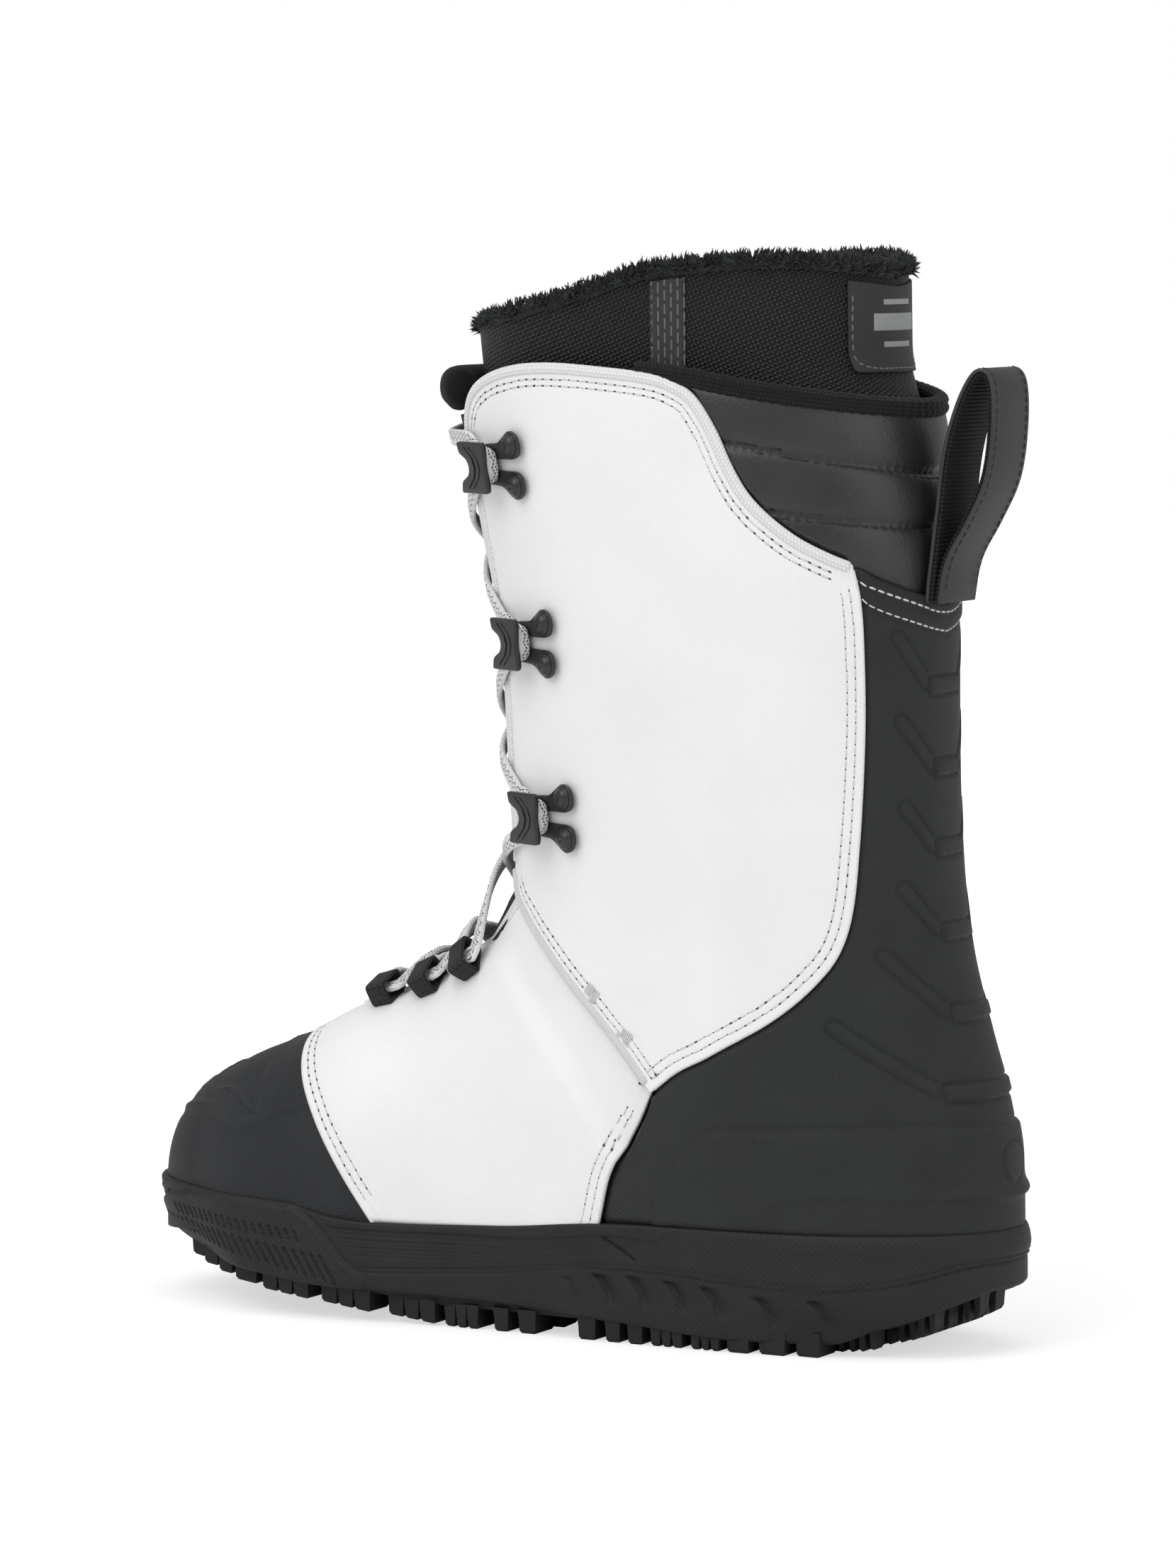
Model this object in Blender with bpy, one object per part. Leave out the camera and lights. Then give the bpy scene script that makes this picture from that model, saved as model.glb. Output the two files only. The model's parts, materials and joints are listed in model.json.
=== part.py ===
"""Snowboard boot, right foot: rubber sole, leather shell hinged at the ankle, laces, and a removable liner.

Metres, +X to the toe, +Y to the inner (medial) side of the foot, +Z up. The origin is under the middle of
the boot, on the surface that its lugs stand on. Every shell panel is a piece of one smooth boot surface,
so panels are outlined on that surface and given their inner and outer depth below it.
"""

import math

import bmesh
import bpy
import numpy as np
from mathutils import Vector

MM = 0.001

# ---------------------------------------------------------------- driving dimensions
TOE_TIP = 0.1512            # foremost point of the upper
HEEL_AXIS_X = -0.050        # vertical axis that the shaft charts turn about
SOLE_TOP = 0.036            # height of the feather line, where the upper meets the sole
CUFF_PIVOT = (-0.050, 0.0, 0.105)
LOOP_PIVOT = (-0.1295, 0.0, 0.2335)
LACE_RADIUS = 0.0022
GAP = 0.0003

# Shaft sections: height, front, back and half width, all in millimetres.
SHAFT = (
    (0, 40, -148, 43), (30, 40, -151, 44), (60, 40, -150.5, 43.5), (80, 44, -147, 42.5),
    (100, 40, -141, 41.5), (125, 30, -134, 42), (150, 22, -130, 44.5), (180, 23, -128, 47),
    (220, 25, -127, 50), (260, 33, -126, 53), (300, 43, -122, 55), (340, 47, -121, 56),
)
# Foot sections: place along the foot, half width inside and outside, height of the instep, in millimetres.
FOOT = (
    (-60, 38, 38, 170), (-20, 40, 42, 150), (10, 42, 46, 122), (40, 46, 51, 109),
    (70, 50, 54, 101), (100, 50, 52, 88), (125, 46, 45, 84),
)
TOE_START = 0.085           # where the foot starts to close towards the toe
ROUNDNESS = 2.35            # exponent of the foot's rounded sections
BLEND = 0.014               # radius of the hollow between foot and shaft

# Depths below the boot surface: (inner, outer).
PANEL = (-1.6 * MM, 0.0)
LAP = 3.3 * MM              # how far the lower panels dip where the cuff laps over them
LAP_REACH = (0.010, 0.030)  # and how far below the cuff's edge that goes on, at the back and in front
UNDER = (-6.0 * MM, -2.7 * MM)


# ---------------------------------------------------------------- the boot surface
def smooth_curve(xs, ys):
    """A monotone cubic through the points."""
    xs, ys = np.array(xs, float), np.array(ys, float)
    slope = np.diff(ys) / np.diff(xs)
    tangent = np.concatenate([slope[:1], np.zeros(len(xs) - 2), slope[-1:]])
    for i in range(1, len(xs) - 1):
        before, after = slope[i - 1], slope[i]
        if before * after > 0:
            h0, h1 = xs[i] - xs[i - 1], xs[i + 1] - xs[i]
            w0, w1 = 2 * h1 + h0, h1 + 2 * h0
            tangent[i] = (w0 + w1) / (w0 / before + w1 / after)

    def value(x):
        x = np.clip(x, xs[0], xs[-1])
        i = np.clip(np.searchsorted(xs, x) - 1, 0, len(xs) - 2)
        h = xs[i + 1] - xs[i]
        t = (x - xs[i]) / h
        start = (1 + 2 * t) * (1 - t) ** 2 * ys[i] + t * (1 - t) ** 2 * h * tangent[i]
        return start + t * t * (3 - 2 * t) * ys[i + 1] + t * t * (t - 1) * h * tangent[i + 1]

    return value


def columns(table):
    rows = np.array(table, float) * MM
    return [smooth_curve(rows[:, 0], rows[:, i]) for i in range(1, rows.shape[1])]


shaft_front, shaft_back, shaft_half = columns(SHAFT)
foot_inside, foot_outside, foot_roof = columns(FOOT)


def field(p):
    """Below zero inside the boot, zero on its surface: a shaft and a foot, blended where they meet."""
    x, y, z = p[..., 0], p[..., 1], p[..., 2]
    front, back, half = shaft_front(z), shaft_back(z), shaft_half(z)
    middle = np.minimum(back + 0.45 * (front - back), 0)
    reach = np.where(x > middle, front - middle, middle - back)
    power = np.where(x > middle, 2.3, 2.15)
    shaft = ((np.abs(x - middle) / reach) ** power + (np.abs(y) / half) ** power) ** (1 / power)
    shaft = (shaft - 1) * half
    side = np.where(y > 0, foot_inside(x), foot_outside(x))
    across = np.abs(y) / side
    height = np.maximum(z - SOLE_TOP, 0) / (foot_roof(x) - SOLE_TOP)
    toe = np.maximum((x - TOE_START) / (TOE_TIP - TOE_START), 0)
    heel = np.maximum((-0.020 - x) / 0.070, 0)
    foot = (across**ROUNDNESS + height**ROUNDNESS + toe**ROUNDNESS + heel**2) ** (1 / ROUNDNESS)
    foot = (foot - 1) * np.minimum(side, 0.045)
    share = np.clip(0.5 + 0.5 * (foot - shaft) / BLEND, 0, 1)
    return foot * (1 - share) + shaft * share - BLEND * share * (1 - share)


def normal(p):
    step = 0.0004
    slopes = [field(p + step * axis) - field(p - step * axis) for axis in np.eye(3)]
    slopes = np.stack(slopes, -1)
    return slopes / np.linalg.norm(slopes, axis=-1, keepdims=True)


def on_surface(start, direction, depth):
    """Where rays from inside the boot leave its surface, moved along the normal by depth."""
    direction = direction / np.linalg.norm(direction, axis=-1, keepdims=True)
    start = np.broadcast_to(start, direction.shape)
    near, far = np.zeros(direction.shape[:-1]), np.full(direction.shape[:-1], 0.26)
    for _ in range(34):
        middle = (near + far) / 2
        inside = field(start + direction * middle[..., None]) < 0
        near, far = np.where(inside, middle, near), np.where(inside, far, middle)
    p = start + direction * near[..., None]
    return p + normal(p) * np.asarray(depth)[..., None]


def around(spots, depth=0.0):
    """Shaft chart: spots are (degrees from the toe towards the inner side, height in mm)."""
    spots = np.asarray(spots, float)
    angle, height = np.radians(spots[..., 0]), spots[..., 1] * MM
    start = np.stack([0 * angle + HEEL_AXIS_X, 0 * angle, height], -1)
    return on_surface(start, np.stack([np.cos(angle), np.sin(angle), 0 * angle], -1), depth)


def over(spots, depth=0.0):
    """Foot chart: spots are (place along the foot in mm, degrees up from the inner side)."""
    spots = np.asarray(spots, float)
    along, angle = spots[..., 0] * MM, np.radians(spots[..., 1])
    start = np.stack([along, 0 * along, 0 * along + SOLE_TOP], -1)
    return on_surface(start, np.stack([0 * along, np.cos(angle), np.sin(angle)], -1), depth)


TOE_HUB = (0.055, 0.0, SOLE_TOP)
INSTEP_HUB = (-0.010, 0.0, 0.050)
LINER_HUB = (0.000, 0.0, 0.040)


def fan(spots, depth, hub):
    """Spots are (tilt of a plane that turns about a crossways line, degrees up from the inner side)."""
    spots = np.asarray(spots, float)
    tilt, angle = np.radians(spots[..., 0]), np.radians(spots[..., 1])
    up = np.sin(angle)
    direction = np.stack([up * np.cos(tilt), np.cos(angle), up * np.sin(tilt)], -1)
    return on_surface(np.array(hub), direction, depth)


def toe_fan(spots, depth=0.0):
    return fan(spots, depth, TOE_HUB)


def instep_fan(spots, depth=0.0):
    return fan(spots, depth, INSTEP_HUB)


def liner_fan(spots, depth=0.0):
    return fan(spots, depth, LINER_HUB)


def foot_spots(points):
    """The foot-chart spots of points in space."""
    angle = np.degrees(np.arctan2(points[..., 2] - SOLE_TOP, points[..., 1]))
    return np.stack([points[..., 0] / MM, angle], -1)


# ---------------------------------------------------------------- outlines and grids
def resample(points, count):
    """A rounded line through the points, cut into count equal steps."""
    points = np.array(points, float)
    ends = np.concatenate([2 * points[:1] - points[1:2], points, 2 * points[-1:] - points[-2:-1]])
    fine = []
    for i in range(len(points) - 1):
        a, b, c, d = ends[i:i + 4]
        for t in np.linspace(0, 1, 12, endpoint=False):
            fine.append(0.5 * (2 * b + (c - a) * t + (2 * a - 5 * b + 4 * c - d) * t**2
                               + (3 * b - a - 3 * c + d) * t**3))
    fine = np.array(fine + [points[-1]])
    length = np.concatenate([[0], np.cumsum(np.linalg.norm(np.diff(fine, axis=0), axis=1))])
    steps = np.linspace(0, length[-1], count + 1)
    return np.stack([np.interp(steps, length, fine[:, i]) for i in range(2)], -1)


def four_sided(bottom, top, left, right, across, upward):
    """A grid of spots between four border lines (a Coons patch)."""
    bottom, top = resample(bottom, across)[:, None], resample(top, across)[:, None]
    left, right = resample(left, upward)[None], resample(right, upward)[None]
    u = np.linspace(0, 1, across + 1)[:, None, None]
    v = np.linspace(0, 1, upward + 1)[None, :, None]
    corners = ((1 - u) * (1 - v) * left[:, :1] + u * (1 - v) * right[:, :1]
               + (1 - u) * v * left[:, -1:] + u * v * right[:, -1:])
    return (1 - v) * bottom + v * top + (1 - u) * left + u * right - corners


def mirrored(spots, chart):
    """The same spots on the outer side of the foot."""
    spots = np.array(spots, float)
    if chart is around:
        spots[..., 0] = -spots[..., 0]
    else:
        spots[..., 1] = 180 - spots[..., 1]
    return spots


# ---------------------------------------------------------------- objects
def material(name, colour, roughness, metallic=0.0):
    made = bpy.data.materials.new(name)
    made.use_nodes = True
    shader = made.node_tree.nodes["Principled BSDF"]
    shader.inputs["Base Color"].default_value = (*colour, 1)
    shader.inputs["Roughness"].default_value = roughness
    shader.inputs["Metallic"].default_value = metallic
    return made


for old in list(bpy.data.objects):
    bpy.data.objects.remove(old, do_unlink=True)

WHITE_LEATHER = material("white_leather", (0.85, 0.85, 0.86), 0.45)
BLACK_LEATHER = material("black_leather", (0.02, 0.02, 0.022), 0.45)
BLACK_RUBBER = material("black_rubber", (0.015, 0.015, 0.016), 0.6)
BLACK_PLASTIC = material("black_plastic", (0.02, 0.02, 0.02), 0.35)
FOAM = material("foam", (0.3, 0.3, 0.32), 0.9)
KNIT = material("black_knit", (0.02, 0.02, 0.022), 0.95)
MESH_FABRIC = material("liner_mesh", (0.03, 0.03, 0.033), 0.85)
FUR = material("grey_fur", (0.25, 0.26, 0.28), 0.95)
WEBBING = material("webbing", (0.05, 0.05, 0.055), 0.8)
CORD = material("white_cord", (0.8, 0.8, 0.8), 0.8)
STEEL = material("steel", (0.55, 0.55, 0.56), 0.35, 1.0)
BOARD = material("fibre_board", (0.45, 0.36, 0.25), 0.8)


def empty(name, place):
    made = bpy.data.objects.new(name, None)
    made.location = place
    bpy.context.collection.objects.link(made)
    return made


ROOT = empty("boot_frame", (0, 0, 0))
CUFF = empty("cuff_pivot", CUFF_PIVOT)
LOOP = empty("pull_loop_pivot", LOOP_PIVOT)


def add_object(name, mesh, look, parent):
    made = bpy.data.objects.new(name, mesh)
    mesh.materials.append(look)
    bpy.context.collection.objects.link(made)
    made.parent = parent
    made.matrix_parent_inverse.identity()
    return made


def solid(name, points, faces, look, parent):
    """A closed mesh from points in space, its faces turned outwards."""
    origin = np.array(parent.location)
    bm = bmesh.new()
    verts = [bm.verts.new(Vector(p - origin)) for p in np.asarray(points, float)]
    for face in faces:
        bm.faces.new([verts[i] for i in face])
    bmesh.ops.recalc_face_normals(bm, faces=bm.faces)
    if bm.calc_volume(signed=True) < 0:
        bmesh.ops.reverse_faces(bm, faces=bm.faces)
    mesh = bpy.data.meshes.new(name)
    bm.to_mesh(mesh)
    bm.free()
    mesh.shade_smooth()
    mesh.set_sharp_from_angle(angle=math.radians(40))
    return add_object(name, mesh, look, parent)


def between(name, outer, inner, look, parent, wrap=False):
    """The solid between two grids of points of the same shape; wrap joins the last column to the first."""
    nu, nv = outer.shape[:2]
    points = np.concatenate([outer.reshape(-1, 3), inner.reshape(-1, 3)])
    far = nu * nv

    def at(i, j):
        return (i % nu) * nv + j

    faces = []
    for i in range(nu if wrap else nu - 1):
        for j in range(nv - 1):
            ring = (at(i, j), at(i + 1, j), at(i + 1, j + 1), at(i, j + 1))
            faces += [ring, tuple(far + k for k in reversed(ring))]
        for j in (0, nv - 1):
            ring = (at(i, j), at(i + 1, j), far + at(i + 1, j), far + at(i, j))
            faces.append(ring if j else ring[::-1])
    if not wrap:
        for i in (0, nu - 1):
            for j in range(nv - 1):
                ring = (at(i, j), at(i, j + 1), far + at(i, j + 1), far + at(i, j))
                faces.append(ring if i else ring[::-1])
    return solid(name, points, faces, look, parent)


def panel(name, spots, chart, depths, look, parent, wrap=False):
    """A shell panel: depths are (inner, outer), each a number or an array over the grid."""
    inner, outer = (np.broadcast_to(d, spots.shape[:2]) for d in depths)
    return between(name, chart(spots, outer), chart(spots, inner), look, parent, wrap)


def join(name, pieces, operation="UNION"):
    """pieces[0] with the others added or cut away; the others stay as hidden helpers."""
    base = pieces[0]
    for cutter in pieces[1:]:
        cutter.hide_render = True
        cutter.display_type = "WIRE"
        change = base.modifiers.new("cut", "BOOLEAN")
        change.operation = operation
        change.object = cutter
    base.name = name
    return base


def prism(name, outline, low, high, look, parent):
    """An upright block over a plan outline; low and high are heights, or functions of x."""
    outline = np.array(outline, float)
    ends = []
    for level in (low, high):
        z = level(outline[:, 0]) if callable(level) else np.full(len(outline), level)
        ends.append(np.column_stack([outline, z]))
    n = len(outline)
    faces = [tuple(range(n))[::-1], tuple(range(n, 2 * n))]
    faces += [(i, (i + 1) % n, n + (i + 1) % n, n + i) for i in range(n)]
    return solid(name, np.concatenate(ends), faces, look, parent)


# ---------------------------------------------------------------- sole
OUTSOLE_TOP = smooth_curve(
    np.array([-156, -133, -98, -42, 12, 53, 90, 125, 156]) * MM,
    np.array([30, 25, 21, 23, 18, 16, 18, 24, 31]) * MM,
)
TREAD = smooth_curve(
    np.array([-156, -140, -122, -104, -100, 18, 22, 40, 60, 80, 100, 125, 156]) * MM,
    np.array([21, 10, 3, 0, 0, 0, 0, 1.6, 4, 6.6, 9.4, 13.4, 21.5]) * MM,
)
LUG_DEPTH = 0.0065
ARCH = (-0.048, 0.000)      # where the sole has no lugs, under the instep
SOLE_EDGE = 0.0008          # how far the sole stands out past the upper
SOLE_HUB = 0.060            # how far towards toe and heel the rays of the sole's plan start
LUG_ROWS, LUG_START, LUG_PITCH = 15, -0.1415, 0.0195
LUG_LENGTH = 0.0130
LUG_SLANT = 0.30            # how far a row falls back for its distance from the middle
LUG_SLANT_ZERO = 0.020      # distance from the middle where a row stands at its own place
LUG_INSET = 0.003           # from the sole's edge
LUG_EDGES = (-1, -0.36, -0.27, 0.27, 0.36, 1)    # of the blocks of a row, as shares of its half width
LUG_NEAR = 0.012            # how far along the sole its width is looked up
LUG_TOE_WIDTH = 0.024       # half width of the foremost row
LUG_ROOT = 0.002            # how far the blocks reach into the plate above them


def sole_outline(grow, count=48, height=SOLE_TOP):
    """The plan of the boot at the feather line, grown outwards."""
    angles = np.linspace(0, 2 * np.pi, count, endpoint=False)
    x = np.cos(angles)
    y = np.sin(angles)
    start = np.stack([SOLE_HUB * x**3, 0 * x, 0 * x + height], -1)
    p = on_surface(start, np.stack([x, 0.55 * y, 0 * x], -1), 0.0)
    out = normal(p)
    out[:, 2] = 0
    out /= np.linalg.norm(out, axis=1, keepdims=True)
    return (p + out * grow)[:, :2]


def slab(name, outline, low, high, look, parent):
    """A plate over a plan outline whose two faces follow curves along the boot."""
    n = len(outline)
    half = n // 2
    top, bottom, faces = [], [], []
    for level, store in ((low, bottom), (high, top)):
        z = level(outline[:, 0]) if callable(level) else np.full(n, level)
        store.extend(np.column_stack([outline, z]))
    points = np.concatenate([bottom, top])
    for k in range(half):
        a, b, c, d = k, k + 1, (n - k - 1) % n, (n - k) % n
        ring = [a, b, c, d] if k else [0, 1, n - 1]
        if k == half - 1:
            ring = [a, b, d]
        faces += [tuple(ring)[::-1], tuple(n + i for i in ring)]
    faces += [(i, (i + 1) % n, n + (i + 1) % n, n + i) for i in range(n)]
    return solid(name, points, faces, look, parent)


def lug_blocks():
    """Plan outlines of the tread blocks: swept rows, three blocks across each."""
    blocks = []
    edge = sole_outline(-LUG_INSET)
    for row in range(LUG_ROWS):
        x = LUG_START + row * LUG_PITCH
        if ARCH[0] < x + LUG_LENGTH / 2 < ARCH[1]:
            continue
        near = np.abs(edge[:, 0] - x - LUG_LENGTH / 2) < LUG_NEAR
        if row == LUG_ROWS - 1:
            width = LUG_TOE_WIDTH
        else:
            width = min(np.abs(edge[near & (side * edge[:, 1] > 0), 1]).min() for side in (1, -1))
        for left, right in zip(LUG_EDGES[::2], LUG_EDGES[1::2]):
            y = np.array([left, right, right, left]) * width
            xs = x + np.array([0, 0, LUG_LENGTH, LUG_LENGTH]) + LUG_SLANT * (LUG_SLANT_ZERO - np.abs(y))
            blocks.append(np.column_stack([xs, y]))
    return blocks


def tread_floor(x):
    """The plate between the lugs."""
    return TREAD(x) + LUG_DEPTH


outsole = slab("outsole", sole_outline(SOLE_EDGE), tread_floor, lambda x: OUTSOLE_TOP(x) - GAP,
               BLACK_RUBBER, ROOT)
lugs = [prism(f"lug_{i}", block, TREAD, lambda x: tread_floor(x) + LUG_ROOT, BLACK_RUBBER, ROOT)
        for i, block in enumerate(lug_blocks())]
join("outsole", [outsole] + lugs)

midsole = slab("midsole", sole_outline(SOLE_EDGE), OUTSOLE_TOP, SOLE_TOP - GAP, FOAM, ROOT)
SHANK = (0.105, 0.016, 0.0016)   # length, width, thickness
SHANK_X = -0.020


def block(name, centre, size, look, parent):
    bm = bmesh.new()
    bmesh.ops.create_cube(bm, size=1)
    bmesh.ops.scale(bm, vec=Vector(size), verts=bm.verts)
    bmesh.ops.translate(bm, vec=Vector(centre) - Vector(parent.location), verts=bm.verts)
    mesh = bpy.data.meshes.new(name)
    bm.to_mesh(mesh)
    bm.free()
    return add_object(name, mesh, look, parent)


shank_z = SOLE_TOP - 0.004
pocket = block("shank_pocket", (SHANK_X, 0, shank_z + 0.003),
               (SHANK[0] + 2 * GAP, SHANK[1] + 2 * GAP, SHANK[2] + 0.006 + 2 * GAP), FOAM, ROOT)
join("midsole", [midsole, pocket], "DIFFERENCE")
block("shank", (SHANK_X, 0, shank_z), SHANK, STEEL, ROOT)
prism("lasting_board", sole_outline(-0.0065, 32), SOLE_TOP + GAP, SOLE_TOP + 0.0018, BOARD, ROOT)

# ---------------------------------------------------------------- seams between cuff and lower boot
# The cuff's lower edge on the inner side, as shaft-chart spots: from the sole's side up to the throat, and
# from the same corner back and up to the backstay.
SEAM_FRONT = ((84, 80), (71, 92), (62, 100), (49, 112), (38, 123), (30, 131), (23, 138), (18, 146))
SEAM_BACK = ((84, 80), (96, 87), (111, 93), (131, 103.5), (144, 116.5), (151, 132))
SEAM_GAP = 1.3              # millimetres or degrees left open along a seam
seam_places = np.array([[-111, 143], [-100, 114], [-66, 89], [-45, 80], [-15, 112], [15, 146]], float) * MM
seam_height = smooth_curve(seam_places[:, 0], seam_places[:, 1])


def lapped(points):
    """How far the lower panels dip at these points: nothing low down, LAP within reach of the cuff."""
    x = points[..., 0]
    below = seam_height(x) - points[..., 2]
    reach = np.interp(x, (-0.066, -0.050), LAP_REACH)
    return -LAP * np.clip((reach - below) / 0.006, 0, 1)


def lower_panel(name, spots, chart, look):
    dip = lapped(chart(spots, np.zeros(spots.shape[:2])))
    return panel(name, spots, chart, (PANEL[0] + dip, PANEL[1] + dip), look, ROOT)


# ---------------------------------------------------------------- shell panels of the lower boot
FAN_EDGE = 56               # tilt of the fan plane where the toe cap ends
FAN_ANGLES = np.array([4, 20, 36, 52, 66, 80])
REAR_EDGE = ((64, 37.5), (67.5, 52), (73.5, 63), (78.5, 71), (82, 77.5))
THROAT = ((26, 79), (44, 80), (59, 80), (76, 80))
TOP_OF_BACK = ((152, 124.5), (166, 121), (180, 119))

toe_spots = np.array([[(tilt, angle) for tilt in np.linspace(1, FAN_EDGE, 7)]
                      for angle in np.linspace(4, 176, 17)], float)
panel("toe_cap", toe_spots, toe_fan, PANEL, BLACK_RUBBER, ROOT)
puff_spots = np.array([[(tilt, angle) for tilt in np.linspace(6, FAN_EDGE - 8, 5)]
                       for angle in np.linspace(12, 168, 13)], float)
panel("toe_puff", puff_spots, toe_fan, (-3.8 * MM, -2.8 * MM), BLACK_PLASTIC, ROOT)


def vamp_spots(side):
    """Foot-chart spots of one half of the vamp: sole, toe cap, throat and seam are its four sides."""
    def on_side(points, chart):
        points = np.array(points, float)
        return points if side > 0 else mirrored(points, chart)

    rear = foot_spots(around(on_side([(a - SEAM_GAP, z) for a, z in REAR_EDGE], around)))
    seam = foot_spots(around(on_side([(a, z - SEAM_GAP) for a, z in SEAM_FRONT[:-1]], around)))
    front_angles = FAN_ANGLES if side > 0 else 180 - FAN_ANGLES
    front = foot_spots(toe_fan(np.array([(FAN_EDGE + 1.8, a) for a in front_angles], float)))
    throat = on_side(THROAT, over)
    left = np.concatenate([rear, seam[1:]])
    return four_sided([left[0], front[0]], [left[-1], *throat, front[-1]], left, front, 10, 12)


for side, name in ((1, "vamp_medial"), (-1, "vamp_lateral")):
    lower_panel(name, vamp_spots(side), over, WHITE_LEATHER)


def both_ways(spots):
    """Shaft-chart spots from the inner side round the back to the outer side."""
    return list(spots) + [(360 - a, z) for a, z in spots[-2::-1]]


heel_top = both_ways([(a, z - SEAM_GAP) for a, z in SEAM_BACK[:-1]] + list(TOP_OF_BACK))
heel_left = list(REAR_EDGE) + [heel_top[0]]
heel_right = [(360 - a, z) for a, z in heel_left]
heel_bottom = [heel_left[0]] + [(a, 36.6) for a in range(80, 281, 20)] + [heel_right[0]]
heel_spots = four_sided(heel_bottom, heel_top, heel_left, heel_right, 22, 7)
lower_panel("heel_cup", heel_spots, around, BLACK_RUBBER)
counter_top = both_ways([(98, 52), (111, 68), (131, 80), (150, 94), (180, 98)])
counter_spots = four_sided([(98, 40), (130, 40), (180, 40), (230, 40), (262, 40)], counter_top,
                           [(98, 40), (98, 52)], [(262, 40), (262, 52)], 18, 4)
panel("heel_counter", counter_spots, around, (-4.2 * MM, -3.0 * MM), BLACK_PLASTIC, ROOT)

# ---------------------------------------------------------------- cuff panels
QUARTER_FRONT = ((18, 146), (18, 175), (19, 197), (19, 217), (19, 236), (20, 254), (22, 281), (27, 301))
QUARTER_TOP = ((27, 301), (37, 306), (47, 308), (70, 307), (91, 305), (101, 302), (107, 298),
               (113, 289), (118, 278), (123, 269), (129, 262), (137, 255), (145, 250), (151, 247))
QUARTER_REAR = SEAM_BACK + ((153.5, 160), (154.5, 193), (154, 220), (153, 236), (151, 247))
quarter_spots = four_sided(SEAM_FRONT[::-1], QUARTER_TOP, QUARTER_FRONT, QUARTER_REAR, 12, 12)
for side, name in ((1, "cuff_quarter_medial"), (-1, "cuff_quarter_lateral")):
    spots = quarter_spots if side > 0 else mirrored(quarter_spots, around)
    panel(name, spots, around, PANEL, WHITE_LEATHER, CUFF)

stay_left = [(152.4, 127)] + [(a + 0.8, z) for a, z in QUARTER_REAR[5:-1]] + [(151.6, 244)]
stay_right = [(360 - a, z) for a, z in stay_left]
stay_bottom = both_ways([stay_left[0], (166, 124), (180, 122)])
stay_top = both_ways([stay_left[-1], (159, 239), (166, 236), (180, 232)])
stay_spots = four_sided(stay_bottom, stay_top, stay_left, stay_right, 8, 9)
panel("backstay", stay_spots, around, PANEL, BLACK_RUBBER, CUFF)

collar_left = [(152, 248.5), (146, 251.5), (138, 256.5), (130, 263.5), (124, 270.5), (119, 279.5), (114, 290)]
collar_right = [(360 - a, z) for a, z in collar_left]
collar_bottom = both_ways([collar_left[0], (159, 240.6), (166, 237.6), (180, 233.6)])
collar_top = both_ways([collar_left[-1], (136, 297), (158, 298), (180, 298)])
collar_spots = four_sided(collar_bottom, collar_top, collar_left, collar_right, 12, 6)
panel("rear_collar", collar_spots, around, (-1.6 * MM, 0.4 * MM), BLACK_LEATHER, CUFF)
pad_spots = np.array([[(a, z) for z in np.linspace(154, 296, 7)] for a in np.linspace(36, 324, 25)], float)
panel("cuff_padding", pad_spots, around, UNDER, KNIT, CUFF)

# ---------------------------------------------------------------- tongue
tongue_spots = np.array([[(a, z) for z in np.linspace(166, 289, 7)] for a in np.linspace(-32, 32, 9)], float)
panel("tongue_upper", tongue_spots, around, UNDER, BLACK_LEATHER, CUFF)
bellows = np.array([[(tilt, 90 + 12 * s) for s in np.linspace(-1, 1, 7)]
                    for tilt in np.linspace(25, 67, 9)], float)
panel("tongue_lower", bellows, instep_fan, (-6.8 * MM, -5.2 * MM), BLACK_LEATHER, ROOT)


def tube(name, line, radius, look, parent, sides=8, closing=0.0):
    """A solid tube along a line of points; closing narrows its ends into rounded ones."""
    line = np.array(line, float)
    count = len(line)
    along = np.gradient(line, axis=0)
    along /= np.linalg.norm(along, axis=1, keepdims=True)
    side = np.cross(along, (0, 0, 1))
    side /= np.linalg.norm(side, axis=1, keepdims=True)
    up = np.cross(side, along)
    size = radius * (1 - closing * np.abs(np.linspace(-1, 1, count)) ** 6)
    turn = np.linspace(0, 2 * np.pi, sides, endpoint=False)[None, :, None]
    ring = np.cos(turn) * side[:, None] + np.sin(turn) * up[:, None]
    points = (line[:, None] + size[:, None, None] * ring).reshape(-1, 3)
    faces = [tuple(range(sides)), tuple(range((count - 1) * sides, count * sides))]
    for i in range(count - 1):
        for j in range(sides):
            k = (j + 1) % sides
            faces.append((i * sides + j, (i + 1) * sides + j, (i + 1) * sides + k, i * sides + k))
    return solid(name, points, faces, look, parent)


ROLL_RADIUS, ROLL_HEIGHT = 0.0062, 297   # metres, and millimetres over the floor
roll_line = around(np.array([(a, ROLL_HEIGHT) for a in np.linspace(-21, 21, 9)])) + np.array([0.002, 0, 0])
tube("tongue_roll", roll_line, ROLL_RADIUS, KNIT, CUFF, closing=0.7)

# ---------------------------------------------------------------- liner
LINER_FRONT_POCKET = 5.4 * MM   # the liner sits this much deeper behind the tongue, where the lace ends go


def liner_depth(angle):
    turn = (np.asarray(angle) + 180) % 360 - 180
    return -6.8 * MM - LINER_FRONT_POCKET * np.exp(-(turn / 30) ** 4)


def forwardness(angle):
    """1 at the front of the leg, 0 at the back."""
    return 0.5 + 0.5 * math.cos(math.radians(angle))


def cuff_split(angle):
    """Where the liner's leg starts: well up at the front, so that the ankle can bend."""
    return 119 + 50 * forwardness(angle) ** 2


FUR_HEIGHT = 5.0            # of the fur edge over the rim, in millimetres
rim_curve = smooth_curve([0, 35, 60, 90, 135, 180], [313, 320, 327, 335, 338, 335])


def rim_height(angle):
    """Height of the liner's mesh at this angle, in millimetres; the fur edge stands on it."""
    return rim_curve(abs((angle + 180) % 360 - 180))


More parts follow.
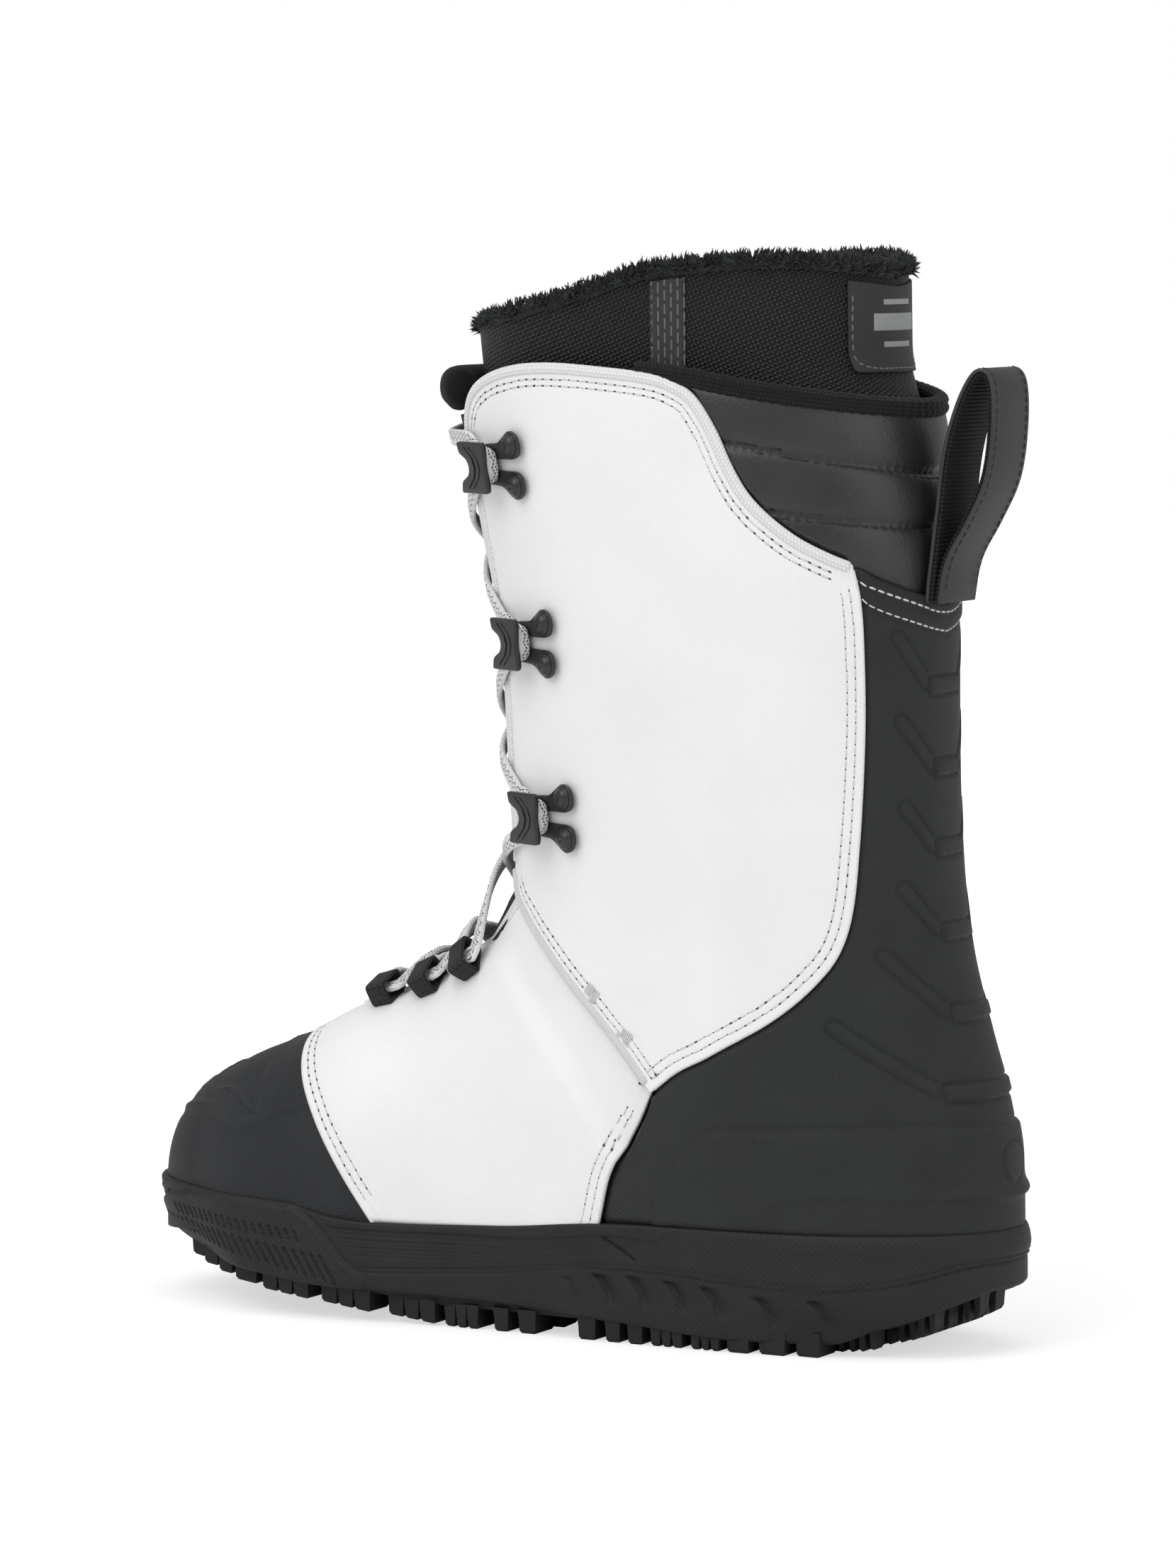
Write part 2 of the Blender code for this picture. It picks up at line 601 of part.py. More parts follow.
def liner_band(name, low, high, rows, thick, stand, look):
    """A band of the liner's leg between two heights that depend on the angle."""
    angles = np.linspace(0, 360, 30, endpoint=False)
    spots = np.array([[(a, low(a) * (1 - t) + high(a) * t) for t in np.linspace(0, 1, rows)]
                      for a in angles], float)
    outer = np.repeat(liner_depth(angles)[:, None] + stand, rows, 1)
    return panel(name, spots, around, (outer - thick, outer), look, CUFF, wrap=True)


liner_band("liner_cuff", cuff_split, rim_height, 6, 4.6 * MM, 0.0, MESH_FABRIC)
liner_band("fur_rim", lambda a: rim_height(a) + 0.5, lambda a: rim_height(a) + FUR_HEIGHT, 3, 6.0 * MM,
           0.8 * MM, FUR)

liner_low = SOLE_TOP / MM + 2.6
liner_left = [(43, liner_low), (37.5, 75), (29, 105), (27, 118)]
liner_right = [(360 - a, z) for a, z in liner_left]
liner_bottom = both_ways([liner_left[0]] + [(a, liner_low) for a in (80, 120, 150, 180)])
liner_top = both_ways([liner_left[-1], (60, 116), (90, 115), (135, 114), (180, 113)])
heel_liner_spots = four_sided(liner_bottom, liner_top, liner_left, liner_right, 22, 6)
panel("liner_heel", heel_liner_spots, around, (-9.2 * MM, -5.6 * MM), MESH_FABRIC, ROOT)
fore_spots = np.array([[(tilt, angle) for tilt in (1, 5, 10, 16, 24, 34, 46, 60, 74)]
                       for angle in np.linspace(3, 177, 17)], float)
panel("liner_vamp", fore_spots, liner_fan, (-11.4 * MM, -8.4 * MM), MESH_FABRIC, ROOT)
FOOTBED_IN = 0.0140         # how far the footbed stays inside the boot's plan
prism("footbed", sole_outline(-FOOTBED_IN, 28), SOLE_TOP + 0.0021, SOLE_TOP + 0.0046, FOAM, ROOT)

# ---------------------------------------------------------------- parts sewn on the liner's leg
TAPE = (95, 4.5)            # middle angle, half width in degrees
for side, name in ((1, "liner_tape_medial"), (-1, "liner_tape_lateral")):
    spots = np.array([[(side * (TAPE[0] + TAPE[1] * s), z) for z in (299, 307, 315, 323, 329)]
                      for s in np.linspace(-1, 1, 4)], float)
    panel(name, spots, around, (-6.0 * MM, -5.0 * MM), WEBBING, CUFF)
label_spots = np.array([[(a, z) for z in (302, 309, 316, 323, 328)] for a in np.linspace(158, 202, 7)], float)
panel("liner_label", label_spots, around, (-6.0 * MM, -4.8 * MM), BLACK_LEATHER, CUFF)


# ---------------------------------------------------------------- hooks, rivets and lace loops
def seat(chart, spot):
    """A frame standing on the surface: place, outward normal, direction to the front, direction up."""
    place = chart(np.array(spot, float), 0.0)
    out = normal(place)
    up = np.array([0, 0, 1.0]) - out[2] * out
    up /= np.linalg.norm(up)
    front = np.cross(out, up)
    if front[0] < 0:
        front = -front
    return place, out, front, up


def plate(name, place, axes, outline, low, high, look, parent):
    """A flat plate: outline in (front, up) millimetres, between two heights above the surface."""
    out, front, up = axes
    points = [place + (front * a + up * b + out * h) * MM for h in (low, high) for a, b in outline]
    n = len(outline)
    faces = [tuple(range(n))[::-1], tuple(range(n, 2 * n))]
    faces += [(i, (i + 1) % n, n + (i + 1) % n, n + i) for i in range(n)]
    return solid(name, points, faces, look, parent)


def ring_outline(radius, count, centre=(0, 0)):
    return [(centre[0] + radius * math.cos(2 * math.pi * i / count),
             centre[1] + radius * math.sin(2 * math.pi * i / count)) for i in range(count)]


HOOK_HEIGHTS = (165, 220, 276)          # of the three hooks, in millimetres
HOOK_ANGLES = (38.0, 36.5, 34.5)        # where their posts stand, in degrees
EAR = (-12.5, 6.6, 4.6)                 # back from the post, up and down, radius
HOOK_TOP = ((8, 8.2), (-6.5, 8.2), (-7, 6), (-6.2, 0), (-7, -6), (-6.5, -8.2), (8, -8.2), (7.2, -4.5),
            (3.2, -2.4), (2.2, 0), (3.2, 2.4), (7.2, 4.5))
HOOK_BASE = ((3.5, 3.2), (-7, 5), (-12.5, 11.2), (-15.8, 9.8), (-17.1, 6.6), (-15.4, 3.2), (-12.5, 0),
             (-15.4, -3.2), (-17.1, -6.6), (-15.8, -9.8), (-12.5, -11.2), (-7, -5), (3.5, -3.2))
BASE_TOP, PLATE_LOW, PLATE_HIGH = 1.5, 6.4, 8.2
POST = ((-2.2, 2.3), (-2.2, -2.3), (2.6, -2.3), (2.6, 2.3))


def hook_seat(side, row):
    return seat(around, (side * HOOK_ANGLES[row], HOOK_HEIGHTS[row]))


def add_hook(side, row, name):
    place, out, front, up = hook_seat(side, row)
    axes = (out, front, up)
    base = plate(name, place, axes, HOOK_BASE, 0.35, BASE_TOP, BLACK_PLASTIC, CUFF)
    post = plate(name + "_post", place, axes, POST, BASE_TOP - 0.4, PLATE_LOW + 0.4, BLACK_PLASTIC, CUFF)
    top = plate(name + "_top", place, axes, HOOK_TOP, PLATE_LOW, PLATE_HIGH, BLACK_PLASTIC, CUFF)
    join(name, [base, post, top])
    for part, sign in (("upper", 1), ("lower", -1)):
        dome = [(2.9, 0.3), (2.9, 0.8), (2.0, 1.5), (0.8, 1.85)]
        rings = [[place + (front * (EAR[0] + a) + up * (sign * EAR[1] + b) + out * (BASE_TOP + h)) * MM
                  for a, b in ring_outline(r, 10)] for r, h in dome]
        faces = [tuple(range(10))[::-1], tuple(range(30, 40))]
        faces += [(10 * k + i, 10 * k + (i + 1) % 10, 10 * k + 10 + (i + 1) % 10, 10 * k + 10 + i)
                  for k in range(3) for i in range(10)]
        solid(f"rivet_{name[5:]}_{part}", np.concatenate(rings), faces, STEEL, CUFF)


for side, word in ((1, "medial"), (-1, "lateral")):
    for row in range(3):
        add_hook(side, row, f"hook_{word}_{row + 1}")

LOOP_SPOTS = ((63, 75), (45.5, 74.5), (28, 73))    # webbing lace loops along the throat, foot chart
LOOP_RING = ((-4.5, 0.5), (4.8, 0.5), (5.8, 2.0), (5.8, 6.6), (4.8, 8.0), (-4.5, 8.0), (-5.6, 6.6), (-5.6, 2.0))
LOOP_HOLE = ((-4.4, 1.4), (4.2, 1.4), (4.9, 2.2), (4.9, 6.3), (4.2, 7.1), (-4.4, 7.1), (-4.9, 6.3), (-4.9, 2.2))
LOOP_WIDTH = 7.0


def loop_seat(side, row):
    along, angle = LOOP_SPOTS[row]
    angle = angle if side > 0 else 180 - angle
    place = over(np.array([along, angle], float), lapped(over(np.array([along, angle], float))))
    ahead = over(np.array([along + 4, angle], float), 0.0)
    out = normal(place)
    run = ahead - place - out * np.dot(ahead - place, out)
    run /= np.linalg.norm(run)
    middle = np.array([0, -side, 0.0])
    middle = middle - run * np.dot(middle, run) - out * np.dot(middle, out)
    return place, out, run, middle / np.linalg.norm(middle)


def add_lace_loop(side, row, name):
    """A band of webbing round the lace: an eight-sided ring that runs along the throat."""
    place, out, run, middle = loop_seat(side, row)
    points = []
    for shape in (LOOP_RING, LOOP_HOLE):
        for end in (-0.5, 0.5):
            points += [place + (middle * a + out * h + run * end * LOOP_WIDTH) * MM for a, h in shape]
    n = len(LOOP_RING)
    faces = []
    for i in range(n):
        k = (i + 1) % n
        faces += [(i, k, n + k, n + i), (2 * n + i, 3 * n + i, 3 * n + k, 2 * n + k),
                  (i, 2 * n + i, 2 * n + k, k), (n + i, n + k, 3 * n + k, 3 * n + i)]
    return solid(name, points, faces, WEBBING, ROOT)


for side, word in ((1, "medial"), (-1, "lateral")):
    for row in range(3):
        add_lace_loop(side, row, f"lace_loop_{word}_{row + 1}")

# ---------------------------------------------------------------- lace
# One lace, laced crosswise through three pairs of webbing loops and three pairs of hooks. It is two solids
# that meet at the toe end of the throat. Its tagged ends lie tucked under the crossings on the tongue.
ROUND_POST = ((12, -7.6), (6, -6.5), (0.5, -5.1), (-4.4, -4.0), (-5.6, 0), (-4.4, 4.0), (0.5, 5.1), (6, 6.5),
              (12, 7.6))
THROUGH_LOOP = ((1.2, 5.4), (0.3, 2.4), (0.3, -2.4), (1.2, -5.4))
LACE_HEIGHT = 3.95          # over the surface, under a hook's plate
LOOP_LACE_HEIGHT = 4.25
CROSS_HEIGHTS = (12.8, 5.2)  # of the two strands where they cross
SHAFT_CROSSING = (14, 0, -14)    # degrees
CROSS_TILTS = (43.5, 56.5, 71)   # where the strands cross over the throat, in the instep fan
OVER_EDGE = (18, 153.5, 4.6)     # where a strand clears the quarter's corner: degrees, height, depth


def lace_half(side, strand):
    """Points along one half of the lace, from the middle of the lowest bar to the tagged end."""
    high = CROSS_HEIGHTS[strand]
    points = []
    here = side
    for row in range(3):
        place, out, run, middle = loop_seat(here, row)
        inside = [place + (middle * a + run * r + out * LOOP_LACE_HEIGHT) * MM for a, r in THROUGH_LOOP]
        if row == 0:
            bar = inside[0] + (middle * 8 + run * 1.5) * MM
            start = np.array([bar[0] + 0.001, 0, bar[2] + 0.0012])
            points += [start + (0, here * y, 0) for y in (0.0002, 0.0030)] + [bar]
        else:
            points.append(instep_fan(np.array([CROSS_TILTS[row - 1], 90.0]), high * MM))
        points += inside
        here = -here
    for row in range(3):
        place, out, front, up = hook_seat(here, row)
        inside = [place + (front * a + up * b + out * LACE_HEIGHT) * MM for a, b in ROUND_POST]
        if row == 0:
            points.append(instep_fan(np.array([CROSS_TILTS[2], 90.0]), high * MM))
            points.append(around(np.array([here * OVER_EDGE[0], OVER_EDGE[1]]), OVER_EDGE[2] * MM))
        else:
            start, stop = points[-1][2] / MM, inside[0][2] / MM
            for k, angle in enumerate(SHAFT_CROSSING):
                z = start + (stop - start) * (k + 1) / 4
                height = high if angle == 0 else 5.2
                points.append(around(np.array([-here * angle, z], float), height * MM))
        points += inside
        here = -here
    last = -here
    tail = [(last * 13, 284, 5.6 - 1.6 * strand), (last * 2 - 4, 286 - strand, 5.2 - 3.8 * strand)]
    tail += [(TAIL_ANGLES[strand], z, -0.25) for z in (276, 262, 248, 234, 220, 206, 194)]
    points += [around(np.array([a, z], float), h * MM) for a, z, h in tail]
    return np.array(points)


TAIL_ANGLES = (-11.5, -6.5)
LACE_STEP = 0.0125          # longest step between the points of the lace


def eased(points):
    """The same route as a smooth curve: spans longer than LACE_STEP get points between their ends."""
    ends = np.concatenate([2 * points[:1] - points[1:2], points, 2 * points[-1:] - points[-2:-1]])
    route = []
    for i in range(len(points) - 1):
        a, b, c, d = ends[i:i + 4]
        steps = max(1, math.ceil(np.linalg.norm(c - b) / LACE_STEP))
        for t in np.arange(steps) / steps:
            route.append(0.5 * (2 * b + (c - a) * t + (2 * a - 5 * b + 4 * c - d) * t**2
                                + (3 * b - a - 3 * c + d) * t**3))
    return np.array(route + [points[-1]])


def cord(name, points, radius, look, parent):
    data = bpy.data.curves.new(name, "CURVE")
    data.dimensions = "3D"
    data.bevel_depth = radius
    data.bevel_resolution = 2
    data.use_fill_caps = True
    spline = data.splines.new("POLY")
    spline.points.add(len(points) - 1)
    for point, place in zip(spline.points, points - np.array(parent.location)):
        point.co = (*place, 1)
    made = bpy.data.objects.new(name, data)
    data.materials.append(look)
    bpy.context.collection.objects.link(made)
    made.parent = parent
    return made


AGLET_LENGTH, AGLET_RADIUS = 0.022, 0.0016
for strand, side in enumerate((1, -1)):
    points = eased(lace_half(side, strand))
    cord(f"lace_half_{strand + 1}", points, LACE_RADIUS, CORD, CUFF)
    ahead = points[-1] - points[-2]
    ahead /= np.linalg.norm(ahead)
    aglet = [points[-1] + ahead * (GAP + AGLET_LENGTH * t) for t in np.linspace(0, 1, 4)]
    tube(f"aglet_{strand + 1}", aglet, AGLET_RADIUS, BLACK_PLASTIC, CUFF, closing=0.3)

# ---------------------------------------------------------------- pull loop
PULL_WIDTH = 0.026
PULL_THICK = 0.0022
PULL_PATH = ((-129.0, 234.5), (-129.6, 246), (-130.3, 262), (-132.6, 281), (-137.0, 296), (-142.6, 305.5),
             (-147.0, 303.5), (-147.9, 291), (-145.7, 274), (-139.6, 260), (-133.9, 248), (-131.9, 234.5))
path = resample(PULL_PATH, 22) * MM
turn = np.gradient(path, axis=0)
turn /= np.linalg.norm(turn, axis=1, keepdims=True)
across = np.stack([-turn[:, 1], turn[:, 0]], -1) * PULL_THICK / 2
rows = []
for face in (path - across, path + across):
    rows.append(np.stack([np.column_stack([face[:, 0], np.full(len(face), y), face[:, 1]])
                          for y in np.linspace(-0.5, 0.5, 3) * PULL_WIDTH], 1))
between("pull_loop", rows[0], rows[1], WEBBING, LOOP)
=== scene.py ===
"""How the snowboard boot looks: leather shell, rubber toe, heel and sole, lacing, liner and pull loop.

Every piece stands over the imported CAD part, in its frame: metres, +X to the toe, +Y to the inner side of the
foot, +Z up. The shell is one smooth surface, and panels are outlined on it by spots: degrees round the leg
and height in millimetres, or millimetres along the foot and degrees up from the inner side.
"""

import json
import math

import bmesh
import bpy
import numpy as np
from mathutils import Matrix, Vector
from mathutils.bvhtree import BVHTree

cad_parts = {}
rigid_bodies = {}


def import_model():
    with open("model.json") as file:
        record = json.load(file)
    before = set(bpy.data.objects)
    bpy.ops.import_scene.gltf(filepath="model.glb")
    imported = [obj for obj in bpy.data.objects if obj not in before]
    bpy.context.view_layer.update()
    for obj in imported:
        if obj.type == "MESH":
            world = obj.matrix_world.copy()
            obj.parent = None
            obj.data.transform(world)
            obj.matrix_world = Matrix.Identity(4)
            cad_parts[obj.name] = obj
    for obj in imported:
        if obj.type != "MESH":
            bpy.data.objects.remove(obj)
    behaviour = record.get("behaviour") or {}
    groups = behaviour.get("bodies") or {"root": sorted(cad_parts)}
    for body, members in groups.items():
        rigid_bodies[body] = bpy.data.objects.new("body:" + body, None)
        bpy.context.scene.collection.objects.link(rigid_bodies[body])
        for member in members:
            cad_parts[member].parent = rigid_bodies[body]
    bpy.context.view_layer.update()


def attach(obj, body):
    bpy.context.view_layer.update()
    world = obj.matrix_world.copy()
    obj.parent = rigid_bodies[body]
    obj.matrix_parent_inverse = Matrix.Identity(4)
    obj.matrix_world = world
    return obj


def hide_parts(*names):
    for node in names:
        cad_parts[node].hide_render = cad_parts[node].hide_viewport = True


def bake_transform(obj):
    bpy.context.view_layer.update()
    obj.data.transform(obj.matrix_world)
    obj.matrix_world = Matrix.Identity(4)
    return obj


MM = 0.001

# ---------------------------------------------------------------- camera and light
CAMERA_AZIMUTH, CAMERA_ELEVATION, CAMERA_DISTANCE = 208.5, 5.0, 2.2
LOOK_AT = Vector((0, 0, 0.172))
LENS, SENSOR = 157.5, 36.0


def toward(azimuth, elevation):
    """The direction from the object to a viewer there."""
    a, e = math.radians(azimuth), math.radians(elevation)
    return Vector((math.sin(a) * math.cos(e), -math.cos(a) * math.cos(e), math.sin(e)))


def add_camera():
    data = bpy.data.cameras.new("camera")
    data.lens, data.sensor_height, data.sensor_width, data.sensor_fit = LENS, SENSOR, SENSOR, "VERTICAL"
    camera = bpy.data.objects.new("camera", data)
    bpy.context.scene.collection.objects.link(camera)
    back = toward(CAMERA_AZIMUTH, CAMERA_ELEVATION)
    camera.location = LOOK_AT + back * CAMERA_DISTANCE
    camera.rotation_mode = "QUATERNION"
    camera.rotation_quaternion = (-back).to_track_quat("-Z", "Y")
    bpy.context.scene.camera = camera


def add_softbox(name, azimuth, elevation, distance, size, power):
    data = bpy.data.lights.new(name, "AREA")
    data.shape, data.size, data.size_y, data.energy = "RECTANGLE", size[0], size[1], power
    light = bpy.data.objects.new(name, data)
    back = toward(azimuth, elevation)
    light.location = LOOK_AT + back * distance
    light.rotation_euler = (-back).to_track_quat("-Z", "Y").to_euler()
    bpy.context.scene.collection.objects.link(light)


for old in list(bpy.data.objects):
    bpy.data.objects.remove(old, do_unlink=True)
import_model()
add_camera()
add_softbox("key", 168, 42, 1.7, (1.3, 1.3), 11.6)
add_softbox("fill", 262, 22, 1.9, (1.2, 1.6), 6.3)
add_softbox("top", 200, 86, 1.6, (1.6, 1.6), 8.4)
bpy.context.scene.view_settings.view_transform = "Standard"


# ---------------------------------------------------------------- the boot surface, as in the CAD source
TOE_TIP, HEEL_AXIS_X, SOLE_TOP = 0.1512, -0.050, 0.036
SHAFT = (
    (0, 40, -148, 43), (30, 40, -151, 44), (60, 40, -150.5, 43.5), (80, 44, -147, 42.5),
    (100, 40, -141, 41.5), (125, 30, -134, 42), (150, 22, -130, 44.5), (180, 23, -128, 47),
    (220, 25, -127, 50), (260, 33, -126, 53), (300, 43, -122, 55), (340, 47, -121, 56),
)
FOOT = (
    (-60, 38, 38, 170), (-20, 40, 42, 150), (10, 42, 46, 122), (40, 46, 51, 109),
    (70, 50, 54, 101), (100, 50, 52, 88), (125, 46, 45, 84),
)
TOE_START, ROUNDNESS, BLEND = 0.085, 2.35, 0.014


def smooth_curve(xs, ys):
    """A monotone cubic through the points."""
    xs, ys = np.array(xs, float), np.array(ys, float)
    slope = np.diff(ys) / np.diff(xs)
    tangent = np.concatenate([slope[:1], np.zeros(len(xs) - 2), slope[-1:]])
    for i in range(1, len(xs) - 1):
        before, after = slope[i - 1], slope[i]
        if before * after > 0:
            h0, h1 = xs[i] - xs[i - 1], xs[i + 1] - xs[i]
            w0, w1 = 2 * h1 + h0, h1 + 2 * h0
            tangent[i] = (w0 + w1) / (w0 / before + w1 / after)

    def value(x):
        x = np.clip(x, xs[0], xs[-1])
        i = np.clip(np.searchsorted(xs, x) - 1, 0, len(xs) - 2)
        h = xs[i + 1] - xs[i]
        t = (x - xs[i]) / h
        start = (1 + 2 * t) * (1 - t) ** 2 * ys[i] + t * (1 - t) ** 2 * h * tangent[i]
        return start + t * t * (3 - 2 * t) * ys[i + 1] + t * t * (t - 1) * h * tangent[i + 1]

    return value


def columns(table):
    rows = np.array(table, float) * MM
    return [smooth_curve(rows[:, 0], rows[:, i]) for i in range(1, rows.shape[1])]


shaft_front, shaft_back, shaft_half = columns(SHAFT)
foot_inside, foot_outside, foot_roof = columns(FOOT)


def field(p):
    """Below zero inside the boot, zero on its surface."""
    x, y, z = p[..., 0], p[..., 1], p[..., 2]
    front, back, half = shaft_front(z), shaft_back(z), shaft_half(z)
    middle = np.minimum(back + 0.45 * (front - back), 0)
    reach = np.where(x > middle, front - middle, middle - back)
    power = np.where(x > middle, 2.3, 2.15)
    shaft = ((np.abs(x - middle) / reach) ** power + (np.abs(y) / half) ** power) ** (1 / power)
    shaft = (shaft - 1) * half
    side = np.where(y > 0, foot_inside(x), foot_outside(x))
    across = np.abs(y) / side
    height = np.maximum(z - SOLE_TOP, 0) / (foot_roof(x) - SOLE_TOP)
    toe = np.maximum((x - TOE_START) / (TOE_TIP - TOE_START), 0)
    heel = np.maximum((-0.020 - x) / 0.070, 0)
    foot = (across**ROUNDNESS + height**ROUNDNESS + toe**ROUNDNESS + heel**2) ** (1 / ROUNDNESS)
    foot = (foot - 1) * np.minimum(side, 0.045)
    share = np.clip(0.5 + 0.5 * (foot - shaft) / BLEND, 0, 1)
    return foot * (1 - share) + shaft * share - BLEND * share * (1 - share)


def slope(p):
    step = 0.0004
    both = [(field(p + step * axis) - field(p - step * axis)) / (2 * step) for axis in np.eye(3)]
    return np.stack(both, -1)


def unit(v):
    return v / np.maximum(np.linalg.norm(v, axis=-1, keepdims=True), 1e-12)


def settled(p):
    """The nearby points of the boot surface."""
    for _ in range(4):
        g = slope(p)
        p = p - g * (field(p) / (g * g).sum(-1))[..., None]
    return p


def outlet(start, direction):
    """Where rays from inside the boot leave its surface."""
    direction = unit(direction)
    start = np.broadcast_to(start, direction.shape)
    near, far = np.zeros(direction.shape[:-1]), np.full(direction.shape[:-1], 0.26)
    for _ in range(19):
        middle = (near + far) / 2
        inside = field(start + direction * middle[..., None]) < 0
        near, far = np.where(inside, middle, near), np.where(inside, far, middle)
    return start + direction * near[..., None]


def around(spots):
    """Shaft chart: spots are (degrees from the toe towards the inner side, height in mm)."""
    spots = np.asarray(spots, float)
    angle, height = np.radians(spots[..., 0]), spots[..., 1] * MM
    start = np.stack([0 * angle + HEEL_AXIS_X, 0 * angle, height], -1)
    return outlet(start, np.stack([np.cos(angle), np.sin(angle), 0 * angle], -1))


def over(spots):
    """Foot chart: spots are (place along the foot in mm, degrees up from the inner side)."""
    spots = np.asarray(spots, float)
    along, angle = spots[..., 0] * MM, np.radians(spots[..., 1])
    start = np.stack([along, 0 * along, 0 * along + SOLE_TOP], -1)
    return outlet(start, np.stack([0 * along, np.cos(angle), np.sin(angle)], -1))


def fan(spots, hub):
    """Spots are (tilt of a plane that turns about a crossways line, degrees up from the inner side)."""
    spots = np.asarray(spots, float)
    tilt, angle = np.radians(spots[..., 0]), np.radians(spots[..., 1])
    up = np.sin(angle)
    return outlet(np.array(hub), np.stack([up * np.cos(tilt), np.cos(angle), up * np.sin(tilt)], -1))


TOE_HUB = (0.055, 0, SOLE_TOP)


def toe_fan(spots):
    return fan(spots, TOE_HUB)


def instep_fan(spots):
    return fan(spots, (-0.010, 0, 0.050))


def liner_fan(spots):
    return fan(spots, (0, 0, 0.040))


def lifted(p, depth):
    """Points of the surface, moved out along its normal by depth in mm."""
    return p + unit(slope(p)) * (np.asarray(depth, float) * MM)[..., None]


def place(chart, spots, depth):
    return lifted(chart(spots), depth)


# ---------------------------------------------------------------- lines and grids of spots
def rounded(points, per_span=16):
    """A smooth line through the points."""
    points = np.array(points, float)
    if len(points) == 2:
        return points[0] + (points[1] - points[0]) * np.linspace(0, 1, per_span + 1)[:, None]
    ends = np.concatenate([2 * points[:1] - points[1:2], points, 2 * points[-1:] - points[-2:-1]])
    a, b, c, d = (ends[i:len(points) - 1 + i, None] for i in range(4))
    t = np.linspace(0, 1, per_span, endpoint=False)[None, :, None]
    fine = 0.5 * (2 * b + (c - a) * t + (2 * a - 5 * b + 4 * c - d) * t**2
                  + (3 * b - a - 3 * c + d) * t**3)
    return np.concatenate([fine.reshape(-1, points.shape[1]), points[-1:]])


def lengths(line):
    return np.concatenate([[0], np.cumsum(np.linalg.norm(np.diff(line, axis=0), axis=1))])


def at(line, where, measure=None):
    """Points of a line at these shares of its length, or at these lengths when measure is given."""
    along = lengths(line) if measure is None else measure
    where = np.asarray(where, float) * (along[-1] if measure is None else 1)
    return np.stack([np.interp(where, along, line[:, i]) for i in range(line.shape[1])], -1)


def even(line, step):
    """The line again, in steps of about this length."""
    count = max(2, int(round(lengths(line)[-1] / step)))
    return at(line, np.linspace(0, 1, count + 1))


def coons(bottom, top, left, right, us, vs):
    """A grid of spots between four border lines."""
    bottom, top = (at(rounded(line), us)[:, None] for line in (bottom, top))
    left, right = (at(rounded(line), vs)[None] for line in (left, right))
    u, v = np.asarray(us)[:, None, None], np.asarray(vs)[None, :, None]
    corners = ((1 - u) * (1 - v) * left[:, :1] + u * (1 - v) * right[:, :1]
               + (1 - u) * v * left[:, -1:] + u * v * right[:, -1:])
    return (1 - v) * bottom + v * top + (1 - u) * left + u * right - corners


EDGE_PLACES = np.array([0, 0.2, 0.45, 0.8, 1.3, 2.0, 2.8, 3.6, 4.4, 5.2, 6.2, 7.4])


def graded(length, step):
    """Shares of a length in mm: close together near both ends and step apart between."""
    near = EDGE_PLACES * min(1, length / 3 / EDGE_PLACES[-1])
    count = max(2, int((length - 2 * near[-1]) / step))
    middle = np.linspace(near[-1], length - near[-1], count + 1)
    return np.concatenate([near[:-1], middle, length - near[-2::-1]]) / length


def between(angles, low, high, count):
    """Spots at these angles, in rows from one height to another."""
    return np.stack([np.stack([angles, 0 * angles + low + (high - low) * t], -1)
                     for t in np.linspace(0, 1, count)], 1)


def flipped(spots, chart):
    """The same spots on the outer side of the foot."""
    spots = np.array(spots, float)
    column = 0 if chart is around else 1
    spots[..., column] = (0 if chart is around else 180) - spots[..., column]
    return spots


def both_ways(spots):
    """Shaft-chart spots from the inner side round the back to the outer side."""
    return list(spots) + [(360 - a, z) for a, z in spots[-2::-1]]


def bump_at(distance, width):
    return np.exp(-(distance / width) ** 2)


def step_at(distance, width):
    """0 below zero, 1 above, turning smoothly over width."""
    t = np.clip(distance / width + 0.5, 0, 1)
    return t * t * (3 - 2 * t)


def steadied(out, rounds):
    """Directions along a line, evened out with their neighbours."""
    for _ in range(rounds):
        out = unit(out + np.roll(out, 1, 0) + np.roll(out, -1, 0))
    out[0], out[-1] = out[1], out[-2]
    return out


def distance_to(p, line):
    """Distance in mm from points to a line of points in space."""
    flat = p.reshape(-1, 3)
    found = np.empty(len(flat))
    for first in range(0, len(flat), 4000):
        part = flat[first:first + 4000]
        found[first:first + 4000] = np.sqrt(((part[:, None] - line[None]) ** 2).sum(-1).min(1))
    return found.reshape(p.shape[:-1]) / MM


def ramp(x, *points):
    return np.interp(x, *zip(*points))


# ---------------------------------------------------------------- meshes
def grid_faces(nu, nv, wrap=False, first=0):
    i, j = np.meshgrid(np.arange(nu if wrap else nu - 1), np.arange(nv - 1), indexing="ij")
    k = (i + 1) % nu
    faces = np.stack([i * nv + j, k * nv + j, k * nv + j + 1, i * nv + j + 1], -1)
    return faces.reshape(-1, 4) + first


